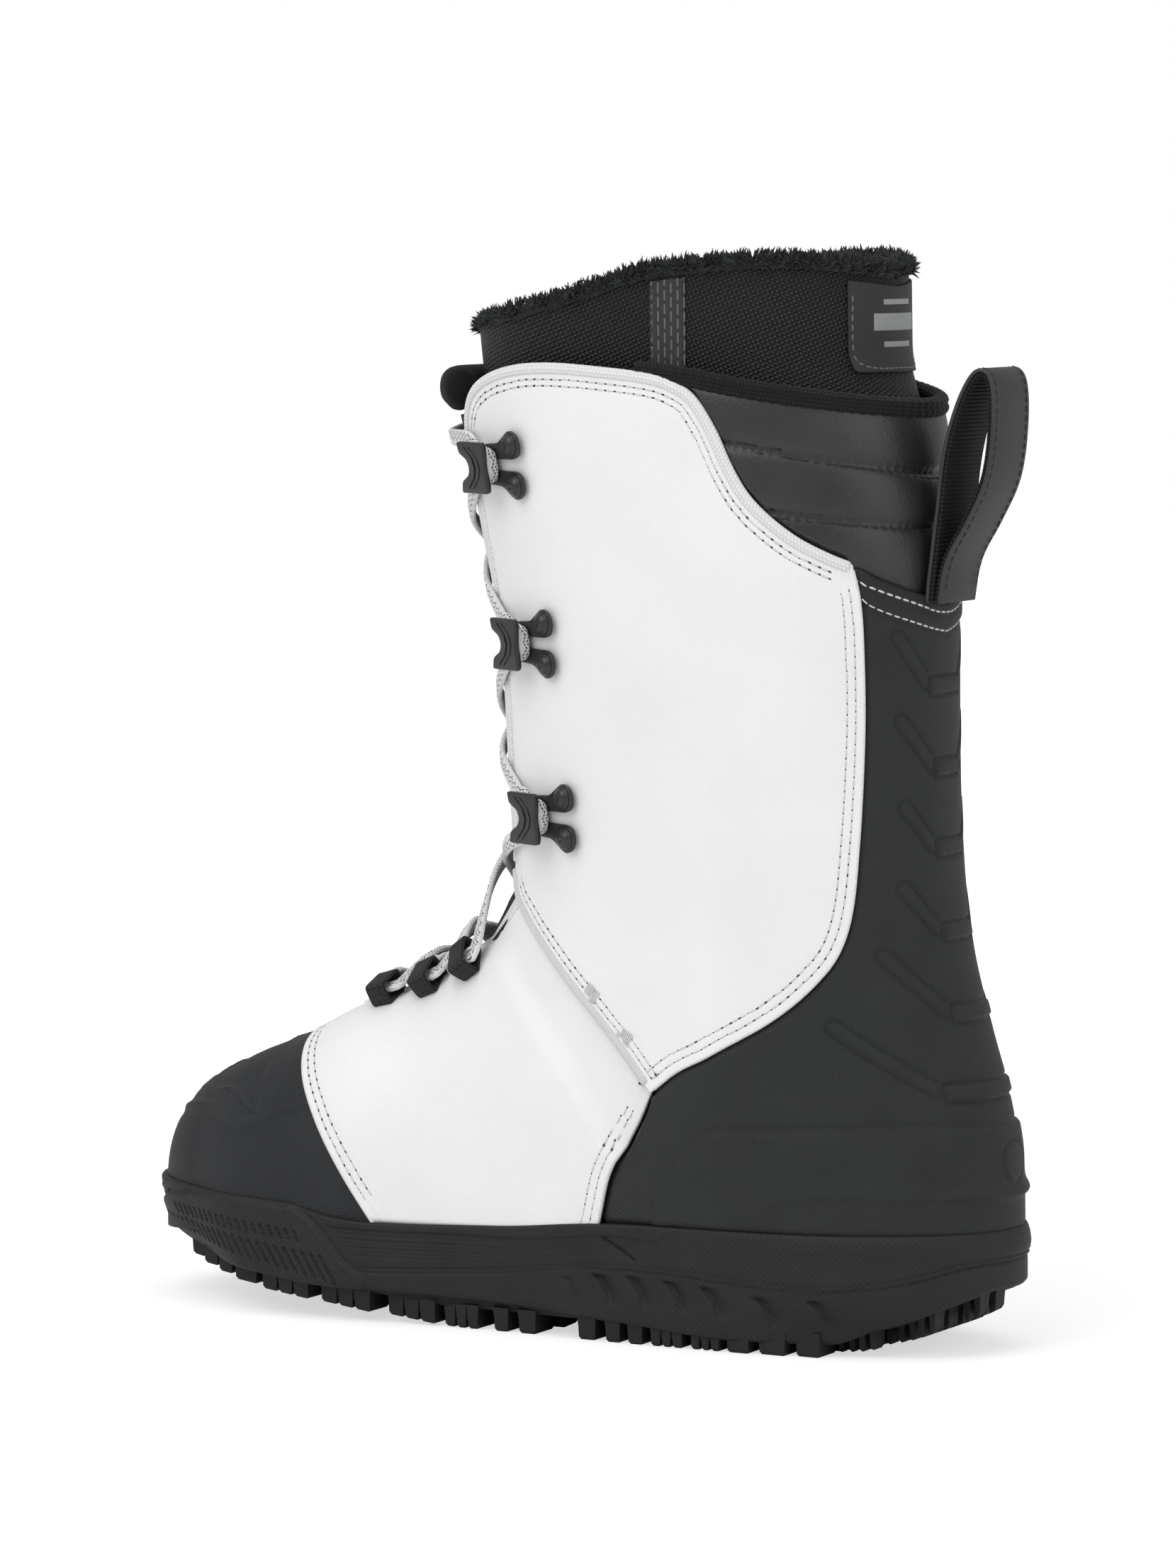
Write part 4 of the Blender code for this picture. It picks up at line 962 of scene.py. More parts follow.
def sewn_grooves(distance, rows, depth):
    """Leather pulled in along rows of stitches, in mm."""
    return -depth * sum(bump_at(distance - row, 0.7) for row in rows)


def cut_edge(name, chart, outline, way, body, depth):
    """The raw edge of a leather panel; depth gives how deep it lies at its points, in mm."""
    line = side_line(chart, outline, 0.25, way, (1, 1))
    line = lifted(line, depth(line))
    rim = tube(name, line, unit(slope(line)), CUT_RIM, CUT_EDGE)
    settle(rim, body, "white_leather")


def quarter(side, word):
    def to_side(spots):
        return flipped(spots, around) if side < 0 else np.array(spots, float)

    def relief(p, edges):
        low, top, front, rear = edges
        bound = np.minimum(top, front)
        sewn = np.minimum(low, rear)
        groove = sewn_grooves(bound, BOUND_SEAMS, 0.22) + sewn_grooves(sewn, SEWN_SEAMS, 0.22)
        return 0.25 * step_at(np.minimum(bound, sewn) - 5.0, 9.0) - 0.25 + groove

    borders = [to_side(line) for line in (SEAM_FRONT[::-1], QUARTER_TOP, QUARTER_FRONT, QUARTER_REAR)]
    made = leather_panel(f"quarter_{word}_leather", around, borders, relief, 1.6)
    settle(made, "cuff", "white_leather", f"cuff_quarter_{word}")
    host = surface_of(made)
    key = WHITE_ON_SHELL["cuff"]
    bound = to_side(QUARTER_FRONT + QUARTER_TOP[1:])
    for inset in BOUND_SEAMS:
        sew(key, side_line(around, bound, inset, -side, (6, 3)), host)
    edging(f"quarter_{word}_binding", side_line(around, bound, 1.3, -side, (1, -3)), "cuff", WHITE_KNIT)
    seam = to_side(SEAM_FRONT[::-1])
    for inset in CUFF_SEAMS:
        sew(key, side_line(around, seam, inset, side, (5, 3)), host)
    cord = side_line(around, seam, 0.7, side, (0, 2))
    edging(f"quarter_{word}_cord", cord, "cuff", WHITE_CORD, 3.0, 3.4, -1.0)
    rear = to_side(QUARTER_REAR)
    for inset in SEWN_SEAMS:
        sew(key, side_line(around, rear, inset, side, (2, 5)), host)
    cut_edge(f"quarter_{word}_cut_edge", around, rear, side, "cuff", lambda points: -0.85)
    for spot, turn in (((71, 97), 62), ((57, 110), 58)):
        bar_tack(to_side([spot])[0], around, turn if side > 0 else 180 - turn, host, key)


# ---------------------------------------------------------------- vamp
TOE_SEAMS = (2.6, 5.2)
VAMP_LOW = ((59.5, 27), (61.5, 32))     # where its rear edge goes on under the midsole
VAMP_THROAT = ((24, 79), (44, 80), (59, 80), (76, 80))


def vamp(side, word):
    def on_side(points, chart):
        points = np.array(points, float)
        return points if side > 0 else flipped(points, chart)

    rear = foot_spots(around(on_side([(a - 0.4, z) for a, z in VAMP_LOW + REAR_EDGE], around)))
    under = [(a, z + 5.5) for a, z in SEAM_FRONT[:-1]]
    seam = foot_spots(around(on_side(under, around)))
    front = [(FAN_EDGE - 0.5, a if side > 0 else 180 - a) for a in (-9, 4, 20, 36, 52, 66, 79.5)]
    front = foot_spots(toe_fan(front))
    throat = on_side(VAMP_THROAT, over)
    left = np.concatenate([rear, seam])
    top = [left[-1], *throat, front[-1]]

    def relief(p, edges):
        _, upper, _, toe = edges
        height = lapped(p) + 0.55 - 2.2 * (1 - step_at(p[..., 2] / MM - 32.5, 3))
        hem = distance_to(p, rear_line)
        for distance, rows in ((toe, TOE_SEAMS), (upper, (3.6,)), (hem, SEWN_SEAMS)):
            height = height + sewn_grooves(distance, rows, 0.2)
        return height - 0.2 * (1 - step_at(np.minimum(toe, hem) - 4, 8))

    rear_line = even(over(at(rounded(rear), np.linspace(0, 1, 60))), 0.0007)
    borders = [np.array([left[0], front[0]]), np.array(top), left, front]
    made = leather_panel(f"vamp_{word}_leather", over, borders, relief, 1.7)
    settle(made, "lower_boot", "white_leather", f"vamp_{word}")
    host = surface_of(made)
    key = WHITE_ON_SHELL["lower_boot"]
    for inset in TOE_SEAMS:
        sew(key, side_line(over, front, inset, -side, (9, 2)), host)
    for inset in SEWN_SEAMS:
        sew(key, side_line(over, rear, inset, side, (8, 3)), host)
    throat_line = side_line(over, np.array(top)[:-1], 1.0, side, (6, 0))
    sew(key, side_line(over, np.array(top)[:-1], 3.8, side, (6, 2)), host)
    throat_line = lifted(throat_line, lapped(throat_line) + 0.55)
    edge = tube(f"vamp_{word}_binding", lifted(throat_line, -0.6),
                unit(slope(throat_line)), oval(3.4, 2.7, 14), WHITE_KNIT, taper=1.2)
    settle(edge, "lower_boot", "white_cord")
    for tag, line_spots, way in (("front", front, -side), ("rear", rear, side)):
        cut_edge(f"vamp_{word}_cut_edge_{tag}", over, line_spots, way, "lower_boot",
                 lambda points: lapped(points) - 0.3)


# ---------------------------------------------------------------- toe cap
CREASE = np.array([(153, 12, 66), (142, 24, 65.5), (123, 33, 65), (116, 38, 64), (106, 44, 61),
                   (101, 45, 61.5), (94, 45, 64), (85, 45, 68), (76, 44, 70)], float) * MM
RECESS_EDGE = np.array([(128, 8, 84), (139, 13, 72), (133, 20, 70), (122, 29, 70), (115, 33, 71),
                        (109, 37, 69), (103, 41, 66), (99, 43, 65)], float) * MM
RECESS_BACK = np.array([(99, 43, 65), (100, 38, 72), (99, 34, 77), (101, 26, 82), (103, 16, 86),
                        (104, 6, 88)], float) * MM


TOE_RIM = 1.4               # how far its rims turn in


def toe_cap():
    turn = np.linspace(-95, 95, 260)[:, None]
    top = np.degrees(np.arctan(math.tan(math.radians(FAN_EDGE + 3.5)) * np.cos(np.radians(turn))))
    spots = np.stack(np.broadcast_arrays(turn, -8.5 + (top + 8.5) * np.linspace(0, 1, 130)), -1)
    plan, rise = np.radians(spots[..., 0]), np.radians(spots[..., 1])
    direction = np.stack([np.cos(plan) * np.cos(rise), np.sin(plan) * np.cos(rise), np.sin(rise)], -1)
    base = outlet(np.array(TOE_HUB), direction)
    mirror = base * (1, 0, 1) + np.abs(base) * (0, 1, 0)
    crease, edge, back = (even(settled(rounded(line, 8)), 0.0008)
                          for line in (CREASE, RECESS_EDGE, RECESS_BACK))
    height = np.full(base.shape[:2], -0.35)
    from_crease = distance_to(mirror, crease)
    height += 0.55 * bump_at(from_crease, 1.5) - 0.3 * bump_at(from_crease - 2.6, 1.6)
    outline = np.concatenate([edge, back])
    near = distance_to(mirror, outline)
    x, z = mirror[..., 0], mirror[..., 2]
    bound = ramp(z, (0.0625, 0.100), (0.066, 0.1035), (0.070, 0.104), (0.080, 0.104), (0.090, 0.104))
    front = ramp(z, (0.064, 0.100), (0.0655, 0.104), (0.0675, 0.108), (0.0695, 0.113), (0.0702, 0.124),
                 (0.072, 0.139), (0.084, 0.128), (0.09, 0.125))
    inside = (x > bound - 0.002) & (x < front) & (z > 0.0645)
    recess = np.where(inside, 1.0, 0.0) * np.clip(near / 1.2, 0, 1)
    height -= 0.75 * recess
    lines = np.sin(2 * np.pi * (base[..., 0] + 0.55 * base[..., 2]) / 0.00125)
    height += 0.13 * lines * np.clip((near - 1) / 2, 0, 1) * inside
    height += 0.25 * bump_at(near - 0.4, 0.9) * (z > 0.064)
    inward = unit(slope(base)) * -MM
    points = base - inward * height[..., None]
    back_edge, low_edge = points[:, -1:] + inward[:, -1:] * TOE_RIM, points[:, :1] + inward[:, :1] * TOE_RIM
    points = np.concatenate([low_edge, points, back_edge], 1)
    along = np.concatenate([spots[:, :1], spots, spots[:, -1:]], 1)[..., 0]
    up = points[..., 2] / MM
    made = add_mesh("toe_cap_rubber", points, grid_faces(*points.shape[:2]), TOE_RUBBER, along=along, up=up)
    settle(made, "lower_boot", "black_rubber", "toe_cap")


# ---------------------------------------------------------------- heel and back of the boot
HEEL_SIDE = smooth_curve([28, 45, 60, 74, 86, 94, 100, 111, 122, 135, 160, 193, 236, 250],
                         [56, 60, 66, 74, 84, 96, 111, 130, 140, 146, 148.5, 149.5, 149, 148])
BAND_TOP = smooth_curve([140, 152, 159, 166, 180], [250, 246, 241.5, 238.5, 234.5])
BAND_STITCH = ((149, 244.2), (151, 243), (159, 239), (166, 236), (174, 233), (180, 232))
STEP_LINE = ((86, 39), (90, 50), (98, 59), (107, 66), (115, 69), (133, 70), (160, 72), (180, 71))
RIDGE_LINE = ((127, 42), (131, 47), (139, 50), (150, 51), (166, 51), (180, 50))
CHEVRONS = (   # outer end and inner end of a limb, and the height of the bar across the back
    ((163, 224), (171.5, 210), 208.5), ((164, 198), (173, 184), 183), ((165, 171), (172.5, 159), 158),
    ((164, 146), (172, 133), 132), ((159, 125), (170.5, 108), 107), ((148, 103), (165.5, 84), 83),
)


def of_line(points):
    return smooth_curve(*zip(*points))


def counter_relief(half, z):
    """The raised heel counter: the step along its top and the ridge across it, in mm."""
    step = np.where(half > STEP_LINE[0][0], of_line(STEP_LINE)(half) - z, -9)
    slant = ramp(half, (86, 0.35), (100, 0.6), (115, 1))
    height = 1.25 * step_at(step * slant, 1.5) - 0.3 * bump_at(step * slant + 1.0, 0.8)
    ridge = (z - of_line(RIDGE_LINE)(half)) * ramp(half, (127, 0.5), (140, 1))
    strength = ramp(half, (124, 0), (133, 0.55), (164, 0.6), (167.5, 1.5), (180, 1.7))
    return height + strength * np.where(ridge > 0, bump_at(ridge, 2.6), bump_at(ridge, 1.1))


def chevron_relief(x, z, radius):
    """The grooves round the backstay's chevrons, each two limbs and a bar, in mm."""
    height = np.zeros(z.shape)
    for (a0, z0), (a1, z1), bar in CHEVRONS:
        near = np.abs(z - (z0 + bar) / 2) < abs(z0 - bar) / 2 + 8
        scale, px, pz = radius[near], x[near], z[near]
        ax, bx = np.radians(a0 - 180) * scale, np.radians(a1 - 180) * scale
        dx, dz = bx - ax, z1 - z0
        t = np.clip(((px - ax) * dx + (pz - z0) * dz) / (dx * dx + dz * dz), 0, 1)
        limb = np.hypot(px - ax - t * dx, pz - z0 - t * dz)
        part = -0.75 * bump_at(limb - 2.25, 0.55) + 0.25 * step_at(2.0 - limb, 0.8)
        end = np.radians(a1 + 1.6 - 180) * scale
        box = np.maximum(end - px, np.abs(pz - bar) - 2.3)
        bar_part = -0.85 * bump_at(box - 0.55, 0.55) + 0.75 * step_at(-box, 0.9)
        height[near] += np.where(box < 1.8, bar_part, part)
    return height


def heel_piece():
    """The black rubber heel with the backstay above it."""
    low, top = 28.0, 236.0
    rows = np.linspace(0, 1, int((top - low) / 0.78))
    side_share, centre_share = np.linspace(0, 1, 46), np.linspace(0, 1, 62)[1:]
    spots = []
    for v in rows:
        edge = float(HEEL_SIDE(low + v * (top - low)))
        inner = max(146.0, edge + 1.5)
        angles = np.concatenate([edge + (inner - edge) * side_share, inner + (180 - inner) * centre_share])
        angles = np.concatenate([angles, 360 - angles[-2::-1]])
        height = low + v * (BAND_TOP(180 - np.abs(angles - 180)) - low)
        spots.append(np.stack([angles, height], -1))
    spots = np.array(spots).transpose(1, 0, 2)
    base = around(spots)
    half = 180 - np.abs(spots[..., 0] - 180)
    z = spots[..., 1]
    radius = np.hypot(base[..., 0] - HEEL_AXIS_X, base[..., 1]) / MM
    x = np.radians(half - 180) * radius
    white_edge = np.full(base.shape[:2], 99.0)
    for line in (QUARTER_REAR, REAR_EDGE):
        for flip in (False, True):
            outline = rounded(flipped(line, around) if flip else line)
            outline = even(around(at(outline, np.linspace(0, 1, 80))), 0.0008)
            white_edge = np.minimum(white_edge, distance_to(base, outline))
    under = half < ramp(z, *[(b, a) for a, b in ((60, 28), *REAR_EDGE, *QUARTER_REAR[1:])])
    covered = np.where(under, 1.0, 1 - step_at(white_edge - 1.2, 3.2))
    beneath_vamp = step_at(base[..., 0] / MM + 46, 6) * (z < 82)
    height = covered * (-1.9 + (lapped(base) - 0.8) * beneath_vamp)
    height += counter_relief(half, z) + chevron_relief(x, z, radius)
    band = BAND_TOP(half) - z
    height += 0.75 * step_at(9.5 - band, 1.6) * step_at(band + 4, 1) - 0.45 * bump_at(band - 4.9, 0.8)
    height -= 0.4 * bump_at(band - 10.2, 0.9)
    ring = np.hypot(x, z - 60.5)
    height += np.where(ring < 9, -0.55 * bump_at(ring - 6.6, 0.5) + 0.2 * step_at(6.2 - ring, 0.8), 0)
    height -= rolled_edge(np.minimum(band * 0.8, 5), 1.0) + 1.7 * (1 - step_at(z - 38.5, 3))
    normals = unit(slope(base))
    points = base + normals * height[..., None] * MM
    points = np.concatenate([points, points[:, -1:] - normals[:, -1:] * 2.2 * MM], 1)
    along = np.radians(spots[..., 0]) * radius
    along = np.concatenate([along, along[:, -1:]], 1)
    up = np.concatenate([z, z[:, -1:]], 1)
    made = add_mesh("heel_and_backstay_rubber", points, grid_faces(*points.shape[:2]), HEEL_RUBBER,
                    along=along, up=up)
    host = surface_of(made)
    settle(made, None, "black_rubber", "heel_cup", "backstay", bend=HEEL_BEND)
    line = both_ways(BAND_STITCH)
    for drop in (0.8, 6.6):
        row = side_line(around, [(a, h - drop) for a, h in line], 0, 1, (1, 1))
        sew((WHITE_THREAD, HOLE_SHADE, "cuff", "white_cord"), row, host,
            pitch=3.1, length=2.5, radius=0.36, mark=0.35)


def sole_outline(grow, count):
    """The plan of the boot at the feather line, grown outwards by millimetres."""
    angles = np.linspace(0, 2 * np.pi, count, endpoint=False)
    x, y = np.cos(angles), np.sin(angles)
    start = np.stack([0.060 * x**3, 0 * x, 0 * x + SOLE_TOP], -1)
    p = outlet(start, np.stack([x, 0.55 * y, 0 * x], -1))
    out = unit(slope(p) * (1, 1, 0))
    return (p + out * grow * MM)[:, :2]


# ---------------------------------------------------------------- padded and textile pieces
EVENING_ROUNDS = 10


def evened(made, move):
    """The swelling with its small wrinkles averaged out over neighbouring points."""
    ends = np.empty(len(made.data.edges) * 2, np.int32)
    made.data.edges.foreach_get("vertices", ends)
    a, b = ends.reshape(-1, 2).T
    count = np.bincount(ends, minlength=len(move))[:, None] + 1
    for _ in range(EVENING_ROUNDS):
        total = move.copy()
        np.add.at(total, a, move[b])
        np.add.at(total, b, move[a])
        move = total / count
    return move


PRESSURE, CLOTH_FRAMES, CLOTH_STIFFNESS = 4.0, 20, 15


def inflated(made, most, voxel=None):
    """Lets air pressure swell a closed shell; most is the furthest that a point may move, in mm."""
    bpy.context.view_layer.objects.active = made
    bpy.ops.object.select_all(action="DESELECT")
    made.select_set(True)
    if voxel:
        remesh = made.modifiers.new("remesh", "REMESH")
        remesh.mode, remesh.voxel_size = "VOXEL", voxel
        bpy.ops.object.modifier_apply(modifier="remesh")
    before = points_of(made)
    cloth = made.modifiers.new("cloth", "CLOTH")
    cloth.settings.use_pressure = True
    cloth.settings.uniform_pressure_force = PRESSURE
    cloth.settings.effector_weights.gravity = 0
    cloth.settings.tension_stiffness = cloth.settings.compression_stiffness = CLOTH_STIFFNESS
    cloth.settings.quality = 6
    scene = bpy.context.scene
    scene.frame_start, scene.frame_end = 1, CLOTH_FRAMES
    cloth.point_cache.frame_start, cloth.point_cache.frame_end = 1, CLOTH_FRAMES
    for number in range(1, CLOTH_FRAMES + 1):
        scene.frame_set(number)
    shaped = made.evaluated_get(bpy.context.evaluated_depsgraph_get()).to_mesh()
    after = np.array([v.co for v in shaped.vertices])
    made.modifiers.remove(cloth)
    scene.frame_set(1)
    move = evened(made, after - before)
    far = np.linalg.norm(move, axis=1, keepdims=True)
    move *= np.minimum(1, most * MM / np.maximum(far, 1e-9))
    move_points(made, before + move)
    smooth = made.modifiers.new("smooth", "SUBSURF")
    smooth.levels = smooth.render_levels = 1
    bpy.ops.object.modifier_apply(modifier="smooth")
    made.data.shade_smooth()


def points_of(made):
    co = np.empty(len(made.data.vertices) * 3, np.float32)
    made.data.vertices.foreach_get("co", co)
    return co.reshape(-1, 3).astype(float)


def move_points(made, points):
    made.data.vertices.foreach_set("co", points.astype(np.float32).ravel())


def shaft_place(p):
    """Degrees round the leg, height in mm, and the way out, of points in space."""
    angle = np.degrees(np.arctan2(p[:, 1], p[:, 0] - HEEL_AXIS_X)) % 360
    return angle, p[:, 2] / MM, unit(slope(settled(p)))


def skin_faces(count, size, wrap=False):
    """Faces of a skin of count rings of size points; its ends are closed, or join when it wraps."""
    order = np.arange(count * size).reshape(count, size)
    faces = []
    for i in range(count if wrap else count - 1):
        here, ahead = order[i], order[(i + 1) % count]
        faces += np.stack([here, ahead, np.roll(ahead, -1), np.roll(here, -1)], -1).tolist()
    if not wrap:
        for ring in (order[0], order[-1]):
            faces += [[ring[j], ring[j + 1], ring[-2 - j], ring[-1 - j]] for j in range(size // 2 - 1)]
    return faces


def shell(name, chart, spots, inner, outer, look, wrap=False, rim=1.0):
    """A closed layer between two depths in mm over a grid of spots, its rims rounded."""
    base = chart(spots)
    normals = unit(slope(base))
    outer, inner = (np.broadcast_to(d, spots.shape[:2]) for d in (outer, inner))
    middle, half = (outer + inner) / 2, (outer - inner) / 2
    nv = spots.shape[1]
    places = np.linspace(0, np.pi, 7)
    layers = [(0, middle[:, 0] + half[:, 0] * math.cos(t), -rim * math.sin(t)) for t in places[::-1]]
    layers += [(j, outer[:, j], 0) for j in range(1, nv - 1)]
    layers += [(nv - 1, middle[:, -1] + half[:, -1] * math.cos(t), rim * math.sin(t)) for t in places]
    layers += [(j, inner[:, j], 0) for j in range(nv - 2, 0, -1)]
    rise = unit(np.concatenate([base[:, 1:] - base[:, :-1], base[:, -1:] - base[:, -2:-1]], 1))
    points = np.stack([base[:, j] + normals[:, j] * d[:, None] * MM + rise[:, j] * shift * MM
                       for j, d, shift in layers], 1)
    faces = skin_faces(*points.shape[:2], wrap)
    scale = 1.35 if chart is around else 1.0
    along = np.stack([spots[:, j, 0] * scale for j, _, _ in layers], 1)
    up = np.stack([spots[:, j, 1] + shift for j, _, shift in layers], 1)
    return add_mesh(name, points, faces, look, along=along, up=up)


UNDER_BINDING = -2.1        # depth that the collar keeps to where the quarter's edging lies over it
COLLAR_SIDE = ((146, 243), (140, 246.5), (132, 252), (124.5, 259.5), (118.5, 267), (113.5, 276), (108, 287),
               (101, 297), (97, 302.5))
COLLAR_TOP = ((97, 302.5), (104, 301.5), (114, 299.5), (136, 296), (158, 293.5), (180, 292.5))
COLLAR_LOW = ((146, 243), (153, 240), (159, 236), (166, 233), (180, 229))
CHANNELS = (((105, 286.5), (117, 284), (170, 275), (180, 274)),
            ((117, 266), (129, 263), (169, 258), (180, 257.5)))
TRIM_LINE = ((86, 306.0), (91, 305.6), (107, 303.6), (120, 301.2), (138, 298.4), (158, 295.8), (180, 294.4))


def rear_collar():
    us, vs = np.linspace(0, 1, 110), np.linspace(0, 1, 44)
    right = [(360 - a, z) for a, z in COLLAR_SIDE]
    spots = coons(both_ways(COLLAR_LOW), both_ways(COLLAR_TOP), COLLAR_SIDE, right, us, vs)
    made = shell("rear_collar_leather", around, spots, -5.0, -1.4, COLLAR)
    inflated(made, most=0.6)
    p = points_of(made)
    angle, z, out = shaft_place(p)
    half = 180 - np.abs(angle - 180)
    edges = [np.interp(half, *zip(*line)) for line in CHANNELS]
    outer = field(p) > -2.9 * MM
    roll = np.zeros(len(p))
    low_edge = np.interp(half, *zip(*BAND_STITCH)) + 3
    bounds_ = [low_edge, edges[1], edges[0], np.interp(half, *zip(*COLLAR_TOP)) + 1]
    for low, high in zip(bounds_, bounds_[1:]):
        t = np.clip((z - low) / np.maximum(high - low, 1), 0, 1)
        roll = np.maximum(roll, np.where((z > low) & (z < high), (4 * t * (1 - t)) ** 0.55, 0))
    pucker = 0.12 * np.sin(np.radians(half) * 78 / 3.4 * 2 * np.pi)
    dip = sum(bump_at(z - line, 1.5) for line in edges)
    lift = outer * (1.25 * roll - 0.75 - dip * (0.75 + pucker))
    p = p + out * lift[:, None] * MM
    beyond = z - np.interp(half, *zip(*QUARTER_TOP))
    proud = np.maximum(field(p) / MM - (UNDER_BINDING + 5 * step_at(beyond - 3, 5)), 0) * (half < 150)
    p = p - out * proud[:, None] * MM
    move_points(made, p)
    settle(made, "cuff", "black_leather", "rear_collar")
    host = surface_of(made)
    for line in CHANNELS:
        sew(BLACK_ON_CUFF, side_line(around, both_ways(line), 0, 1), host, 3.6, 2.4, 0.38, 0.55, 0.0)
    trim = place(around, at(rounded(both_ways(TRIM_LINE)), np.linspace(0, 1, 420)), -2.6)
    out = unit(slope(settled(trim)))
    wave = 1 + 0.05 * np.sin(np.arange(len(trim)) * 0.9)[:, None, None]
    profile = []
    for t in np.linspace(0, 2 * np.pi, 20, endpoint=False):
        waist = 1 - 0.26 * math.exp(-(math.cos(t) / 0.26) ** 2)
        profile.append((3.3 * math.cos(t), 2.8 * math.sin(t) * waist))
    made = tube("collar_knit_trim", trim, out, np.array(profile)[None] * wave, TRIM)
    settle(made, "cuff", "black_knit")


def cuff_lining():
    angles = np.linspace(27, 333, 150)
    half = 180 - np.abs(angles - 180)
    top = np.interp(half, [27, 40, 70, 91, 101, 110, 180], [298, 303, 304, 302, 299, 297, 290])
    spots = between(angles, 156, top, 40)
    made = shell("cuff_lining_knit", around, spots, -6.2, -3.2, TRIM, rim=1.5)
    settle(made, "cuff", "black_knit", "cuff_padding")


rim_curve = smooth_curve([0, 35, 60, 90, 135, 180], [313, 320, 327, 335, 338, 335])
FRONT_POCKET = 5.4


def liner_depth(angle):
    turn = (np.asarray(angle) + 180) % 360 - 180
    return -6.8 - FRONT_POCKET * np.exp(-(turn / 30) ** 4)


def rim_height(angle):
    return rim_curve(np.abs((np.asarray(angle) + 180) % 360 - 180))


def lean(angle, height):
    """How far the liner's leg leans forward near its rim at the back, as a depth in mm."""
    back = 0.5 - 0.5 * np.cos(np.radians(angle))
    return -5.5 * back**2 * step_at(np.asarray(height, float) - 299, 30)


LINER_BEND = ((0, 0, 0.062), (0, 0, 0.128))


def liner_leg():
    angles = np.linspace(0, 360, 200, endpoint=False)
    rim = rim_height(angles)
    low = 52 + 46 * (0.5 + 0.5 * np.cos(np.radians(angles))) ** 2
    spots = between(angles, low, rim, 90)
    outer = np.broadcast_to(liner_depth(angles)[:, None], spots.shape[:2]).copy()
    height = spots[..., 1]
    above = height - (rim[:, None] - 26)
    outer += 0.5 * step_at(above, 26) * (0.6 + 0.4 * np.cos(np.radians(angles) * 3))[:, None]
    outer -= 1.0 * (1 - step_at(height - 120, 24))
    outer += lean(spots[..., 0], height)
    made = shell("liner_leg_mesh", around, spots, outer - 4.0, outer, MESH, wrap=True, rim=1.0)
    settle(made, None, "liner_mesh", "liner_cuff", "liner_heel", bend=LINER_BEND)
    lining = between(angles, low + 2, rim + 1.5, 60)
    inner = outer[:, np.linspace(0, 89, 60).round().astype(int)] - 4.3
    rng = np.random.default_rng(7)
    lumps = rng.normal(0, 0.18, inner.shape)
    fleece = shell("liner_fleece_lining", around, lining, inner - 1.6 + lumps, inner, FLEECE, wrap=True,
                   rim=0.6)
    settle(fleece, None, "grey_fur", bend=LINER_BEND)


def liner_toe():
    tilts = np.array([-9, -4, 1, 5, 10, 16, 24, 34, 46, 58, 70, 80], float)
    tilts = np.interp(np.linspace(0, 11, 60), np.arange(12), tilts)
    spots = np.stack([np.stack([np.full(70, t), np.linspace(1, 179, 70)], -1) for t in tilts], 1)
    made = shell("liner_foot_mesh", liner_fan, spots, -11.2, -8.6, MESH, rim=0.6)
    settle(made, "lower_boot", "liner_mesh", "liner_vamp")
    outline = sole_outline(-13.5, 120)
    centre = outline.mean(0)
    rings = [centre + (outline - centre) * s for s in (1, 0.985, 0.95, 0.8, 0.6, 0.4, 0.2, 0.02)]
    cup = (4.3, 4.9, 4.9, 4.2, 3.8, 3.6, 3.5, 3.5)
    top = np.stack([np.column_stack([r, np.full(len(r), SOLE_TOP + (2.2 + c - 1.8) * MM)])
                    for r, c in zip(rings, cup)], 1)
    base = np.column_stack([outline, np.full(len(outline), SOLE_TOP + 2.2 * MM)])[:, None]
    points = np.concatenate([base, top], 1)
    made = add_mesh("footbed_fleece", points, grid_faces(*points.shape[:2], wrap=True), FLEECE)
    settle(made, "lower_boot", "foam", "footbed")


def rim_depth(angle):
    return liner_depth(angle) - 2.0 + lean(angle, rim_height(angle))


